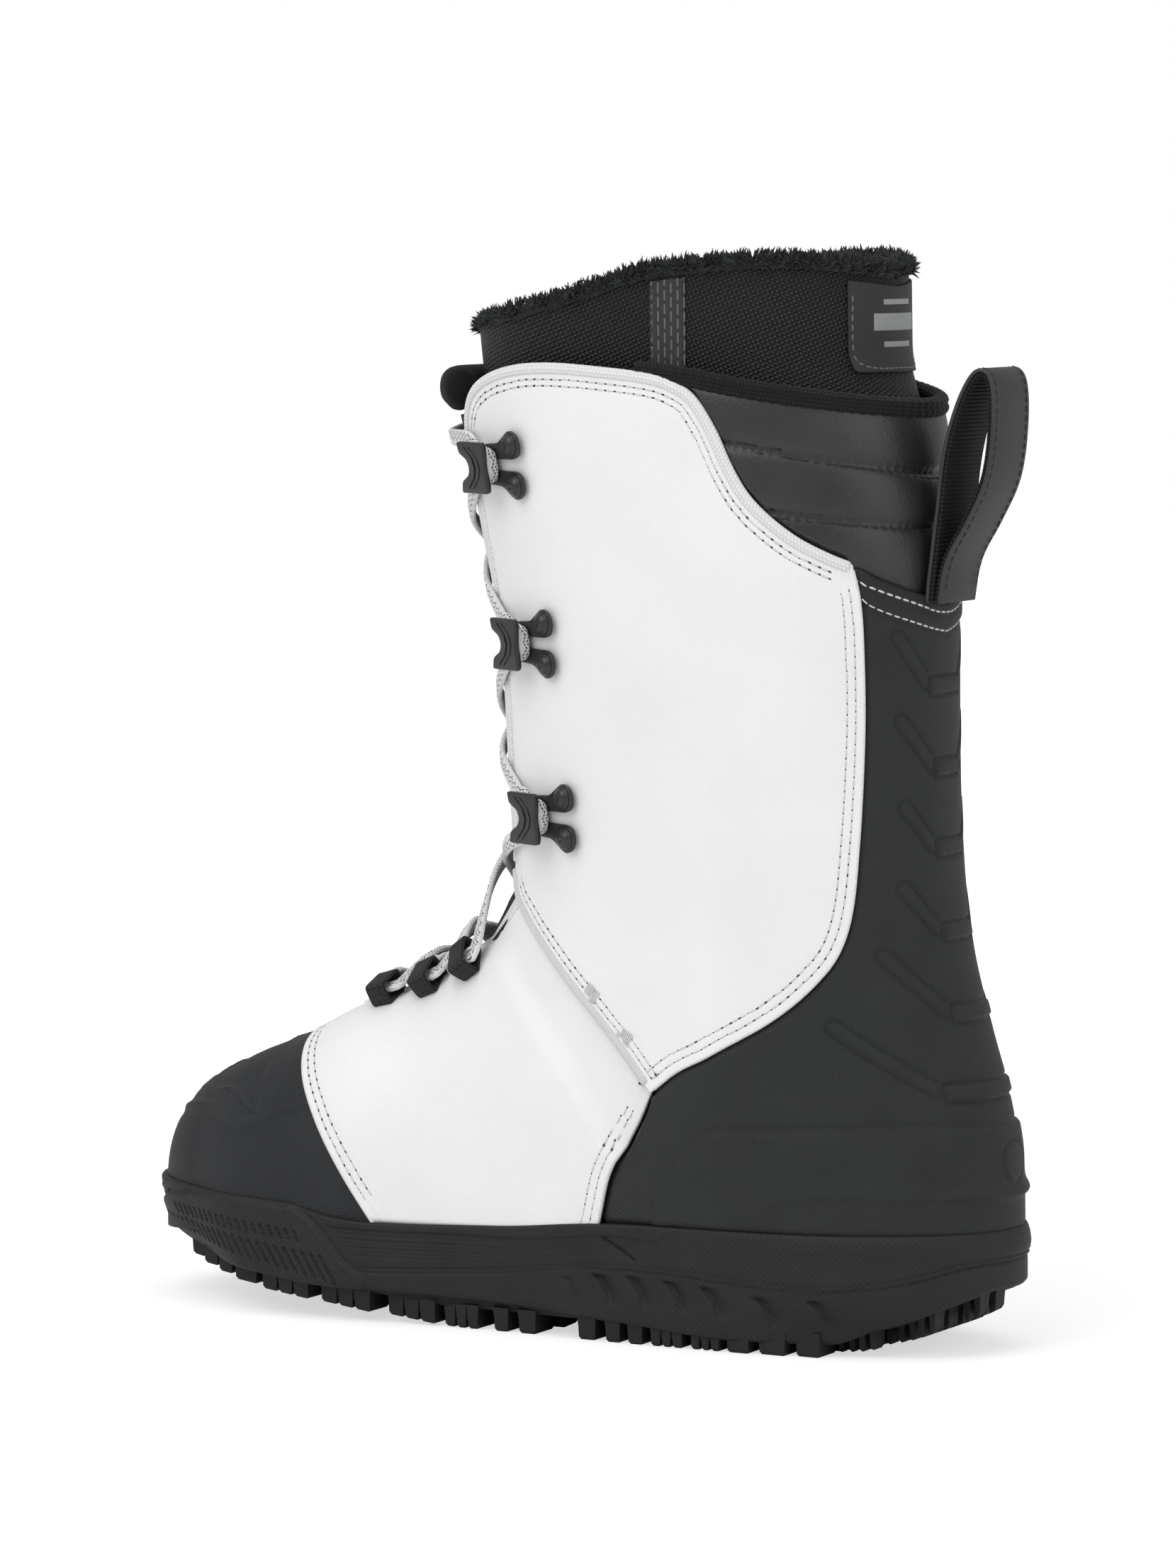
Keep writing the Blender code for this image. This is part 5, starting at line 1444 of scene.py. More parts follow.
def fur():
    """The fur edge: a soft roll along the liner's rim, with tufts lying forward and up."""
    angles = np.linspace(0, 360, 240, endpoint=False)
    line = place(around, np.stack([angles, rim_height(angles) + 1.2], -1), rim_depth(angles))
    out = unit(slope(settled(line)) * (1, 1, 0))
    made = tube("fur_edge_roll", line, out, oval(4.6, 6.6, 14), HAIR, closed=True)
    settle(made, "cuff", "grey_fur", "fur_rim")
    rng = np.random.default_rng(11)
    count = 6500
    angle = rng.uniform(0, 360, count)
    round_ = rng.uniform(-35, 215, count)
    a, r = np.radians(angle), np.radians(round_)
    centre = place(around, np.stack([angle, rim_height(angle) + 1.4], -1), rim_depth(angle))
    out = unit(slope(settled(centre)) * (1, 1, 0))
    up = np.array([0, 0, 1.0])
    way = out * np.cos(r)[:, None] + up * np.sin(r)[:, None]
    root = centre + way * (np.array([3.0, 3.0, 2.2]) * MM)
    clump = np.sin(a * 23 + np.sin(a * 7) * 2) * 0.5 + np.sin(a * 61) * 0.35
    side = np.cross(up, out)
    length = rng.uniform(1.6, 3.6, count) * (1 + 0.25 * clump)
    lie = unit(way * rng.uniform(0.5, 0.9, count)[:, None] + up * 0.35
               + side * (0.55 * clump + rng.normal(0, 0.28, count))[:, None]
               + rng.normal(0, 0.16, (count, 3)))
    curl = unit(lie + side * (0.5 * clump)[:, None] + up * rng.normal(0.0, 0.35, count)[:, None])
    thick = rng.uniform(0.28, 0.55, count)
    cross = unit(np.cross(lie, way + (0.01, 0.02, 0.03)))
    other = np.cross(lie, cross)
    points, faces = [], []
    for share, wide in ((0, 1.0), (0.45, 0.8), (0.8, 0.45)):
        spot = root + (lie * min(share, 0.5) + curl * max(share - 0.5, 0)) * (length * MM)[:, None]
        for k in range(3):
            t = 2 * math.pi * k / 3
            points.append(spot + (cross * math.cos(t) + other * math.sin(t)) * (thick * wide * MM)[:, None])
    points.append(root + (lie * 0.5 + curl * 0.5) * (length * MM)[:, None])
    stack = np.stack(points, 1)
    for ring in range(2):
        for k in range(3):
            faces.append((ring * 3 + k, ring * 3 + (k + 1) % 3, ring * 3 + 3 + (k + 1) % 3, ring * 3 + 3 + k))
    tips = [(6 + k, 6 + (k + 1) % 3, 9, 9) for k in range(3)]
    all_faces = (np.array(faces + tips)[None] + (np.arange(count) * 10)[:, None, None]).reshape(-1, 4)
    all_faces = [f[:3] if f[2] == f[3] else f for f in all_faces.tolist()]
    made = add_mesh("fur_edge_tufts", stack, all_faces, HAIR, weld=1e-9)
    settle(made, "cuff", "grey_fur")


def strip_on_liner(name, middle, half_width, low, high, look, slot_name, node, rise=0.7, round_low=0.0):
    """A flat piece sewn on the liner's leg; its height limits follow the rim."""
    us = np.linspace(-1, 1, 34)
    angle = middle + us * half_width
    top = rim_height(angle) + high
    corner = round_low * (1 - np.sqrt(np.clip(1 - np.clip((np.abs(us) - 0.86) / 0.14, 0, 1) ** 2, 0, 1)))
    spots = between(angle, low + corner, top, 40)
    outer = (liner_depth(angle) + 0.55)[:, None] + lean(spots[..., 0], spots[..., 1])
    made = shell(name, around, spots, outer - 0.5, outer + rise, look, rim=0.3)
    settle(made, "cuff", slot_name, node)
    return surface_of(made)


TAPE_ANGLE = 94.5


def sewn_on_liner():
    for side, word in ((1, "medial"), (-1, "lateral")):
        host = strip_on_liner(f"liner_tape_{word}_strip", side * TAPE_ANGLE, 6.4, 298, -1.5, TAPE_LOOK,
                              "webbing", f"liner_tape_{word}", 0.35)
        for edge in (-5.7, 5.7):
            a = side * TAPE_ANGLE + edge
            line = place(around, np.array([(a, z) for z in np.linspace(300, rim_height(a) - 2.5, 30)]), -6.0)
            sew(BLACK_ON_CUFF, line, host, 2.6, 1.9, 0.26, 0)
    host = strip_on_liner("liner_patch", 180, 24.5, 306, -3.0, PATCH_FACE, "black_leather", "liner_label",
                          0.55, 5.0)
    low = [(157.4, 330), (157.4, 313), (160, 309.2), (167, 307.9), (180, 307.9)]
    line = side_line(around, both_ways(low), 0, 1)
    line = lifted(line, -6.0)
    sew((GREY_THREAD, HOLE_SHADE, "cuff", "black_leather"), line, host, 3.0, 2.2, 0.3, 0.25)


PATCH_BARS = ((327.5, 0.8, 9), (321.3, 2.6, 14), (314.4, 0.8, 9))   # height, half height, half width


def patch_bars():
    """Three plain bars printed on the patch at the back of the liner."""
    for number, (height, half, wide) in enumerate(PATCH_BARS):
        angle = 180 + wide * np.linspace(-1, 1, 24)
        spots = between(angle, height - half, height + half, 6)
        outer = liner_depth(spots[..., 0]) + lean(spots[..., 0], spots[..., 1]) + 0.55 + 0.55
        made = shell(f"liner_patch_bar_{number + 1}", around, spots, outer - 0.1, outer + 0.08, PATCH_BAR,
                     rim=0.05)
        settle(made, "cuff", "black_leather")


# ---------------------------------------------------------------- tongue
def tongue():
    share = np.linspace(-1, 1, 41)
    rows = [instep_fan(np.stack([np.full(41, tilt), 90 + share * ramp(tilt, (14, 11), (60, 15))], -1))
            for tilt in (16, 24, 32, 40, 48, 56, 63)]
    rows += [around(np.stack([np.linspace(31, -31, 41), np.full(41, z)], -1))
             for z in (172, 184, 200, 216, 232, 248, 264, 278, 290)]
    control = np.array(rows)
    measure = lengths(control[:, 20])
    fine = np.linspace(0, measure[-1], 110)
    base = np.stack([at(rounded(control[:, j], 8), fine / measure[-1]) for j in range(41)])
    base = settled(base)
    normals = unit(slope(base))
    w = np.linspace(-1, 1, 41)[:, None]
    s = fine[None] / MM
    channels = sum(bump_at((s - c) + 6 * np.abs(w), 1.8) for c in np.arange(24, fine[-1] / MM - 12, 21))
    outer = -3.1 + 1.5 * np.sqrt(np.clip(1 - w**2, 0, 1)) - 0.9 * channels * (1 - 0.5 * np.abs(w))
    inner = np.broadcast_to(-6.4, outer.shape)
    top_points = base + normals * outer[..., None] * MM
    low_points = base + normals * inner[..., None] * MM
    ring = np.concatenate([top_points, low_points[:, ::-1]], 1)
    flat_along = np.broadcast_to(w * 24, outer.shape)
    flat_up = np.broadcast_to(s, outer.shape)
    made = add_mesh("tongue_padded", ring, skin_faces(*ring.shape[:2]), LINING,
                    along=np.concatenate([flat_along, flat_along[:, ::-1]], 1),
                    up=np.concatenate([flat_up, flat_up[:, ::-1]], 1))
    host = surface_of(made)
    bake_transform(made)
    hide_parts("tongue_lower", "tongue_upper")
    for j in (6, 34):
        sew(BLACK_ON_CUFF, top_points[j, 80:], host, 3.2, 2.3, 0.3, 0.35)


ROLL_HEIGHT, ROLL_DEPTH = 299, -2.5


def tongue_roll():
    """The soft roll along the tongue's upper edge."""
    angles = np.linspace(-25, 25, 40)
    line = place(around, np.stack([angles, np.full(40, ROLL_HEIGHT)], -1), ROLL_DEPTH)
    out = unit(slope(settled(line)) * (1, 1, 0))
    made = tube("tongue_roll_brushed", line, out, oval(15.5, 12.5, 20), ROLL, taper=6)
    inflated(made, voxel=0.004, most=0.9)
    settle(made, "cuff", "black_knit", "tongue_roll")


# ---------------------------------------------------------------- sole
TREAD = smooth_curve([-156, -140, -122, -104, -100, 18, 22, 40, 60, 80, 100, 125, 156],
                     [21, 10, 3, 0, 0, 0, 0, 1.6, 4, 6.6, 9.4, 13.4, 21.5])
LUG_DEPTH = 6.5
WALL_TOP = smooth_curve([-150, -100, -60, -42, -28, 10, 49, 66, 76, 82, 110, 150],
                        [39, 38.2, 37.8, 37.6, 37.0, 33.4, 32, 33, 35, 36.5, 37.5, 38.5])
WALL_LOW = smooth_curve([-150, -140, -122, -106, -75, -42, 10, 44, 74, 95, 125, 142, 152],
                        [21, 16, 9.5, 4.0, 3.8, 6.3, 9.5, 10.5, 11.5, 14, 16.5, 18.5, 21])
HEEL_PROFILE = ((2, -6), (8, -3.4), (12, -1.6), (16, 0.1), (21, 0.9), (27, 0.9), (30, 0.8), (34, 1.3),
                (37, 0.9), (39, 0.2))
TOE_PROFILE = ((14, -14), (17.3, -10.5), (21, -6.0), (26.4, -2.3), (32, -0.4), (36, 0))
DOUBLE_GROOVE = smooth_curve([-152, -146, -133, -118, -98, -71, -42, -20, 12, 53, 64],
                             [30, 29.4, 25.5, 22.6, 21.2, 22.6, 24, 22.8, 18.8, 16.6, 16.5])
PANEL_EDGE = ((146, 27, 31.5), (140, 32, 35), (131, 38, 36), (117, 45, 37), (103, 49, 37.3),
              (82, 50, 36.2), (76, 50, 34), (72, 50, 31), (62, 50, 20), (54, 50, 14.5), (54, 50, 5),
              (90, 50, 5), (150, 15, 12), (149, 20, 24))
UPPER_SLOTS = ((133, 37, 30.5), (114, 46, 30), (98, 50, 28.6), (79, 50, 26.8))
RIB_LINES = ((30.6, 0.35), (29.2, 0.3), (27.6, 0.45), (26.4, 0.25), (25.1, 0.4), (23.9, 0.25), (22.6, 0.3))
LOWER_SLOTS = ((145, 28, 26.2), (129, 39, 25.4), (104, 49, 22.6), (86, 50, 19.6), (67, 50, 16.6))
RECESSES = ((-14, 20.0), (-26, 21.5), (-38, 21.8), (-51, 21.2), (-64, 20.2), (-82, 18.4), (-100, 18.2))
SIDE_LUGS = ((126, 130.5), (117.5, 122.5), (109, 114), (97, 105), (76, 93), (54, 72), (32, 49), (17, 29),
             (6, 11), (-4, 2), (-26, -20), (-35, -30), (-43, -38), (-57, -46), (-70, -60), (-80, -72.5),
             (-92, -83), (-103, -95))


def within(a, b, outline):
    """Distance to a polygon's outline, above zero inside it."""
    near, inside = np.full(a.shape, 1e9), np.zeros(a.shape, bool)
    for (x0, y0), (x1, y1) in zip(outline, np.roll(outline, -1, 0)):
        dx, dy = x1 - x0, y1 - y0
        t = np.clip(((a - x0) * dx + (b - y0) * dy) / (dx * dx + dy * dy), 0, 1)
        near = np.minimum(near, np.hypot(a - x0 - t * dx, b - y0 - t * dy))
        inside ^= ((y0 > b) != (y1 > b)) & (a < dx * (b - y0) / (dy or 1e-9) + x0)
    return np.where(inside, near, -near)


def slot_marks(s, z, start, stop, width):
    """1 inside a narrow rounded slot between two (s, z) places."""
    dx, dz = stop[0] - start[0], stop[1] - start[1]
    t = np.clip(((s - start[0]) * dx + (z - start[1]) * dz) / (dx * dx + dz * dz), 0, 1)
    return step_at(width / 2 - np.hypot(s - start[0] - t * dx, z - start[1] - t * dz), 0.35)


def toe_panel_relief(s, z, panel, arc_of):
    """The raised panel beside the toe, with its notch, its rows of slots and the lines at its tip, in mm."""
    height = 1.0 * step_at(panel - 0.5, 1.6) - 0.35 * bump_at(panel + 0.5, 0.5) * (z > 17)
    height -= 1.2 * slot_marks(s, z, (arc_of(139, 33), 35.2), (arc_of(147, 24), 30.4), 1.0)
    for spots, count, tall, shift in ((UPPER_SLOTS, 19, (2.9, 3.1), 0.45),
                                      (LOWER_SLOTS, 25, (3.0, 8.6), 0.62)):
        line = np.array([(arc_of(x, y), level) for x, y, level in spots])
        for k, (a, b) in enumerate(at(line, np.linspace(0, 1, count))):
            half = (tall[0] + (tall[1] - tall[0]) * (k / (count - 1)) ** 1.2) / 2
            top, foot = (a - half * shift, b + half), (a + half * shift, b - half)
            height -= 0.95 * slot_marks(s, z, top, foot, 0.95)
    tip = s < arc_of(146, 27)
    for level in (36.4, 34.4, 32.2):
        height -= 0.35 * bump_at(z - level, 0.45) * tip
    return height


def rib_relief(x, z, panel):
    """Fine ribs along the middle of the side, and the double groove below them, in mm."""
    ribs = (1 - step_at(panel + 3.2, 2)) * step_at(x + 44 + (z - 30) * 1.6, 3)
    wave = 1.2 * np.exp(-((x + 32) / 14) ** 2) - 0.5 * np.exp(-(x / 18) ** 2)
    level = z - wave - (WALL_TOP(x) - 33.5) * 0.55
    height = 0.5 * step_at(level - 31.2, 0.8) * ribs
    for centre, deep in RIB_LINES:
        height -= deep * bump_at(level - centre, 0.36) * ribs * (level > DOUBLE_GROOVE(x) + 1.5)
    groove = z - DOUBLE_GROOVE(x)
    return height - 0.5 * (bump_at(groove, 0.42) + bump_at(groove - 1.35, 0.42)) * (1 - step_at(x - 55, 8))


def recess_relief(x, z):
    """The raised side of the heel, its slanting slot, and a row of curved recesses below, in mm."""
    height = 0.7 * step_at(-x - 40 - (z - 30) * 1.6, 4) * (z > DOUBLE_GROOVE(x))
    height -= 1.3 * slot_marks(x, z, (-30, 33.4), (-41.5, 27.4), 0.9)
    for rx, rz in RECESSES:
        down = rz - z
        edge = 6.8 * (1 - np.exp(-np.maximum(down, 0) / 4.2))
        right = (rx - x) - edge
        depth = step_at(right, 0.9) * np.exp(-(np.maximum(right, 0) / 4.6) ** 2)
        strength = 0.85 if rx > -20 else 1.7
        height -= strength * depth * step_at(down, 0.8) * (1 - step_at(down - 8.5, 6))
    return height


def bottom_plate(rim):
    """Closes the sole between the side wall's foot and the roots of the lugs."""
    inner = []
    for share in (1.0, 0.985, 0.95, 0.9, 0.75, 0.5, 0.25, 0.0):
        z_floor = rim[:, 2] / MM + 0.3 if share > 0.96 else TREAD(rim[:, 0] / MM) + LUG_DEPTH
        middle = np.clip(rim[:, 0], -0.130, 0.130)
        x_floor = middle + (rim[:, 0] - middle) * share
        inner.append(np.column_stack([x_floor, rim[:, 1] * share, z_floor * MM]))
    inner = np.stack(inner, 1)
    made = add_mesh("sole_bottom_plate", inner, grid_faces(*inner.shape[:2], wrap=True), LUG_RUBBER)
    settle(made, "lower_boot", "black_rubber")


WALL_PLACES, WALL_ROWS = 1200, 62


def sole_wall():
    """The moulded side of the sole, all round the boot."""
    fine = sole_outline(1.1, 720)
    plan = at(np.concatenate([fine, fine[:1]]), np.linspace(0, 1, WALL_PLACES + 1))[:-1]
    tangent = unit(np.roll(plan, -1, 0) - np.roll(plan, 1, 0))
    outward = np.stack([tangent[:, 1], -tangent[:, 0]], -1)
    total = lengths(np.concatenate([plan, plan[:1]]))
    s_line = np.minimum(total[:-1], total[-1] - total[:-1]) / MM
    x_line = plan[:, 0] / MM

    def arc_of(x, y):
        """How far round the outline a place is, from the toe's tip."""
        return s_line[np.argmin(np.hypot(plan[:, 0] / MM - x, plan[:, 1] / MM - y))]

    top, low = WALL_TOP(x_line), WALL_LOW(x_line)
    z = low[:, None] + (top - low)[:, None] * np.linspace(0, 1, WALL_ROWS)
    s, x = (np.broadcast_to(v[:, None], z.shape) for v in (s_line, x_line))
    panel = within(s, z, np.array([(arc_of(a, b), level) for a, b, level in PANEL_EDGE]))
    height = step_at(-x - 85, 90) * ramp(z, *HEEL_PROFILE) + step_at(x - 118, 50) * ramp(z, *TOE_PROFILE)
    height -= 0.9 * (1 - np.clip((z - low[:, None]) / 1.6, 0, 1)) ** 2
    height += toe_panel_relief(s, z, panel, arc_of) + rib_relief(x, z, panel) + recess_relief(x, z)
    lip = np.stack([height[:, -1] - 0.35, height[:, -1] - 1.0, height[:, -1] * 0 - 3.4], 1)
    heights = np.concatenate([np.full((len(plan), 1), -2.6) + height[:, :1], height, lip], 1)
    zs = np.concatenate([z[:, :1] + 0.6, z, z[:, -1:] + 0.5, z[:, -1:] + 0.75, z[:, -1:] + 0.5], 1)
    flat = plan[:, None] + outward[:, None] * heights[..., None] * MM
    points = np.concatenate([flat, zs[..., None] * MM], -1)
    faces = grid_faces(*zs.shape, wrap=True)
    crossed = np.concatenate([panel[:, :1], panel, np.repeat(panel[:, -1:], 3, 1)], 1) > 1
    crossed |= np.repeat(x[:, :1], zs.shape[1], 1) < -50
    picks = crossed.ravel()[faces[:, 0]].astype(int)
    along = np.repeat(total[:-1, None] / MM, zs.shape[1], 1)
    made = add_mesh("sole_side_wall", points, faces, [LUG_RUBBER, SOLE_RUBBER], picks=picks, along=along,
                    up=zs)
    settle(made, "lower_boot", "midsole_rubber", "midsole")
    bottom_plate(points[::2, 1, :])


def lug(x0, x1, y0, y1, slant, low_gap=0.0):
    """A tread block: points and faces of a tapered box with bevelled edges; its foot follows the tread."""
    rings = []
    for inset, drop in ((-0.35, 1), (0.0, 0.55), (0.15, 0.12), (0.75, 0.0)):
        ring = []
        left, right, near, far = x0 + inset, x1 - inset, y0 + inset, y1 - inset
        for a, b in ((left, near), (right, near), (right, far), (left, far)):
            x = a - slant * abs(b)
            ring.append((x, b, TREAD(x) + low_gap + drop * (LUG_DEPTH + 1.2 - low_gap)))
        rings.append(ring)
    points = np.array(rings).reshape(-1, 3) * MM
    faces = [tuple(range(4)), tuple(range(12, 16))]
    for r in range(3):
        low, high = 4 * r, 4 * r + 4
        faces += [(low + i, low + (i + 1) % 4, high + (i + 1) % 4, high + i) for i in range(4)]
    return points, faces


def joined(parts):
    """Many small meshes as one list of points and one of faces."""
    points, faces, first = [], [], 0
    for part_points, part_faces in parts:
        points.append(part_points)
        faces += [[i + first for i in f] for f in part_faces]
        first += len(part_points)
    return np.concatenate(points), faces


def lugs():
    edge = sole_outline(0.2, 400) / MM
    inner_side, outer_side = edge[edge[:, 1] > 0], edge[edge[:, 1] < 0]

    def reach(x, side):
        line = inner_side if side > 0 else outer_side
        near = np.abs(line[:, 0] - x) < 3
        return np.abs(line[near, 1]).min() if near.any() else 12.0

    parts = []
    for x0, x1 in SIDE_LUGS:
        middle = (x0 + x1) / 2
        for side in (1, -1):
            width = min(reach(x0, side), reach(x1, side)) - 1.3 - 0.10 * max(0, middle - 95)
            deep = min(13.0, width * 0.45)
            ends = (side * (width - deep), side * width) if side > 0 else (-width, deep - width)
            sipes = 3 if x1 - x0 > 9 else 1
            cuts = np.linspace(x0, x1, sipes + 1)
            for k in range(sipes):
                gap = 0.35 if sipes > 1 else 0
                parts.append(lug(cuts[k] + gap * (k > 0), cuts[k + 1] - gap * (k < sipes - 1), *ends, 0.0))
            if sipes > 1:
                parts.append(lug(x0 + 0.3, x1 - 0.3, ends[0] + 0.4, ends[1] - 0.4, 0.0, 2.4))
        inner = min(reach(middle, 1), reach(middle, -1))
        for y0, y1 in ((0.34, 0.60), (-0.12, 0.24), (-0.60, -0.28)):
            parts.append(lug(x0 + 1, min(x1, x0 + 12), y0 * inner, y1 * inner, 0.12))
    for row, x in enumerate(np.arange(-143, -106, 8.2)):
        wide = min(reach(x, 1), reach(x + 6, 1)) - 2.5
        count = max(2, int(wide * 2 / 11.5))
        for k in range(count):
            y = -wide + (k + 0.25 + 0.5 * (row % 2)) * 2 * wide / (count + 0.5)
            for piece in ((0, 5.6, 0, 1.9), (0, 1.9, 1.9, 6.6), (3.7, 5.6, 1.9, 6.6)):
                parts.append(lug(x + piece[0], x + piece[1], y + piece[2], y + piece[3], 0.0, 0.6))
    points, faces = joined(parts)
    made = add_mesh("tread_lugs", points, faces, LUG_RUBBER, sharp=30, weld=1e-9)
    settle(made, "lower_boot", "black_rubber", "outsole")


# ---------------------------------------------------------------- hooks, rivets and lace loops
HOOK_HEIGHTS, HOOK_ANGLES = (165, 220, 276), (38.0, 36.5, 34.5)
HOOK_TOP = ((8, 8.2), (-6.5, 8.2), (-7, 6), (-6.2, 0), (-7, -6), (-6.5, -8.2), (8, -8.2), (7.2, -4.5),
            (3.2, -2.4), (2.2, 0), (3.2, 2.4), (7.2, 4.5))
HOOK_EAR = ((3.5, 6.4), (-5.5, 6.9), (-9, 9.2), (-12.5, 11.3), (-15.9, 10), (-17.4, 6.6), (-16.4, 3.0),
            (-13.5, 1.9), (-8, 1.9), (3.5, 1.6))
HOOK_RIDGE = ((5.6, 6.7), (1.6, 3.1), (0.5, 0), (1.6, -3.1), (5.6, -6.7))
HOOK_POST = ((-2.2, 2.3), (-2.2, -2.3), (2.6, -2.3), (2.6, 2.3))
RIVET_SPOT = (-12.5, 6.6)
RIVET_PROFILE = ((3.75, 0.0), (3.75, 0.3), (3.5, 0.55), (3.05, 0.62), (2.95, 0.8), (2.75, 1.25), (2.3, 1.65),
                 (1.6, 1.95), (0.9, 2.05), (0.7, 1.98), (0.4, 1.9), (0.05, 1.88))
LOOP_SPOTS = ((63, 75), (45.5, 74.5), (28, 73))
LOOP_RING = ((-4.9, 1.0), (0, 0.95), (4.5, 1.0), (5.4, 2.0), (5.4, 6.4), (4.5, 7.5), (0, 7.6), (-4.5, 7.5),
             (-5.3, 6.4), (-5.3, 2.0))
ROUND_POST = ((12, -7.6), (6, -6.5), (0.5, -5.1), (-3.5, -3.8), (-4.4, 0), (-3.5, 3.8), (0.5, 5.1), (6, 6.5),
              (12, 7.6))
THROUGH_LOOP = ((1.2, 5.4), (0.3, 2.4), (0.3, -2.4), (1.2, -5.4))
LACE_HEIGHT, LOOP_LACE_HEIGHT = 3.95, 4.25
CROSS_HEIGHTS, SHAFT_HEIGHTS = (8.0, 5.6), (3.1, 1.0)
SHAFT_CROSSING, CROSS_TILTS, TAIL_ANGLES = (14, 0, -14), (43.5, 56.5, 71), (-11.5, -6.5)


def seat(chart, spot):
    """A frame standing on the surface: place, outward normal, direction to the front, direction up."""
    spot = chart(np.array(spot, float))
    out = unit(slope(spot))
    up = unit(np.array([0, 0, 1.0]) - out[2] * out)
    front = np.cross(out, up)
    return spot, out, front if front[0] > 0 else -front, up


def soft_corners(outline, radius):
    """The outline with every corner turned into a curve."""
    outline = np.array(outline, float)
    points = []
    for before, here, after in zip(np.roll(outline, 1, 0), outline, np.roll(outline, -1, 0)):
        to_before, to_after = before - here, after - here
        r = min(radius, 0.45 * np.linalg.norm(to_before), 0.45 * np.linalg.norm(to_after))
        a, b = here + unit(to_before) * r, here + unit(to_after) * r
        for t in np.linspace(0, 1, 5):
            points.append((1 - t) ** 2 * a + 2 * t * (1 - t) * here + t * t * b)
    return points


def prism(outline, low, high, soft):
    """A plate of (front, up, out) millimetres with rounded rims."""
    bm = bmesh.new()
    face = bm.faces.new([bm.verts.new((a, b, low)) for a, b in outline])
    made = bmesh.ops.extrude_face_region(bm, geom=[face])
    moved = [v for v in made["geom"] if isinstance(v, bmesh.types.BMVert)]
    bmesh.ops.translate(bm, vec=(0, 0, high - low), verts=moved)
    rims = [e for e in bm.edges if abs(e.verts[0].co.z - e.verts[1].co.z) < 1e-6]
    if soft:
        bmesh.ops.bevel(bm, geom=rims, offset=soft, segments=3, affect="EDGES", profile=0.6)
    bm.verts.index_update()
    points = np.array([v.co for v in bm.verts])
    faces = [[v.index for v in f.verts] for f in bm.faces]
    bm.free()
    return points, faces


LATHE_STEPS = 28


def lathe(profile, centre):
    """A profile of (radius, height) turned round an upright axis."""
    turn = np.linspace(0, 2 * np.pi, LATHE_STEPS, endpoint=False)
    points = [(centre[0] + r * math.cos(t), centre[1] + r * math.sin(t), h) for t in turn for r, h in profile]
    return np.array(points), grid_faces(LATHE_STEPS, len(profile), wrap=True).tolist()


def standing(parts, spot, axes):
    """Parts in (front, up, out) millimetres, moved to their seat."""
    points, faces = joined(parts)
    return spot + points @ np.array(axes) * MM, faces


def hook(side, row, name):
    spot, out, front, up = seat(around, (side * HOOK_ANGLES[row], HOOK_HEIGHTS[row]))
    axes = (front, up, out)
    ridges = []
    for shift, high in ((-1.3, 8.55), (-3.9, 8.5)):
        arm = [(a + shift, b) for a, b in HOOK_RIDGE]
        inner = [(a - 0.75, b) for a, b in arm[::-1]]
        ridges.append(prism(arm + inner, 8.0, high, 0.15))
    ears = [prism(soft_corners([(a, b * sign) for a, b in HOOK_EAR[::sign]], 2.2), 0.1, 1.5, 0.4)
            for sign in (1, -1)]
    parts = [*ears, prism(soft_corners(HOOK_POST, 0.8), 1.2, 6.8, 0),
             prism(soft_corners(HOOK_TOP, 1.1), 6.4, 8.2, 0.5), *ridges]
    made = add_mesh(name + "_moulded", *standing(parts, spot, axes), PLASTIC, sharp=50)
    settle(made, "cuff", "black_plastic", name)
    for part, sign in (("upper", 1), ("lower", -1)):
        dome = [(r, h + 1.45) for r, h in RIVET_PROFILE]
        dome = lathe(dome, (RIVET_SPOT[0], sign * RIVET_SPOT[1]))
        rivet = add_mesh(f"rivet_{name[5:]}_{part}_dome", *standing([dome], spot, axes), RIVET)
        settle(rivet, "cuff", "steel", f"rivet_{name[5:]}_{part}")


def loop_seat(side, row):
    along, angle = LOOP_SPOTS[row]
    angle = angle if side > 0 else 180 - angle
    flat = over(np.array([along, angle], float))
    spot = lifted(flat, lapped(flat))
    ahead = over(np.array([along + 4, angle], float))
    out = unit(slope(spot))
    run = unit(ahead - spot - out * np.dot(ahead - spot, out))
    middle = np.array([0, -side, 0.0])
    return spot, out, run, unit(middle - run * np.dot(middle, run) - out * np.dot(middle, out))


def lace_loop(side, row, name):
    spot, out, _, middle = loop_seat(side, row)
    ring = np.array(LOOP_RING)
    ring = at(rounded(np.concatenate([ring, ring[:1]]), 6), np.linspace(0, 1, 61))[:-1]
    line = spot + (middle * ring[:, :1] + out * ring[:, 1:]) * MM
    hub = spot + out * 4.2 * MM
    made = tube(name + "_webbing", line, unit(line - hub), band_profile(7.4, 1.15, 0.4, 5), LOOP_WEB,
                closed=True)
    settle(made, "lower_boot", "webbing", name)


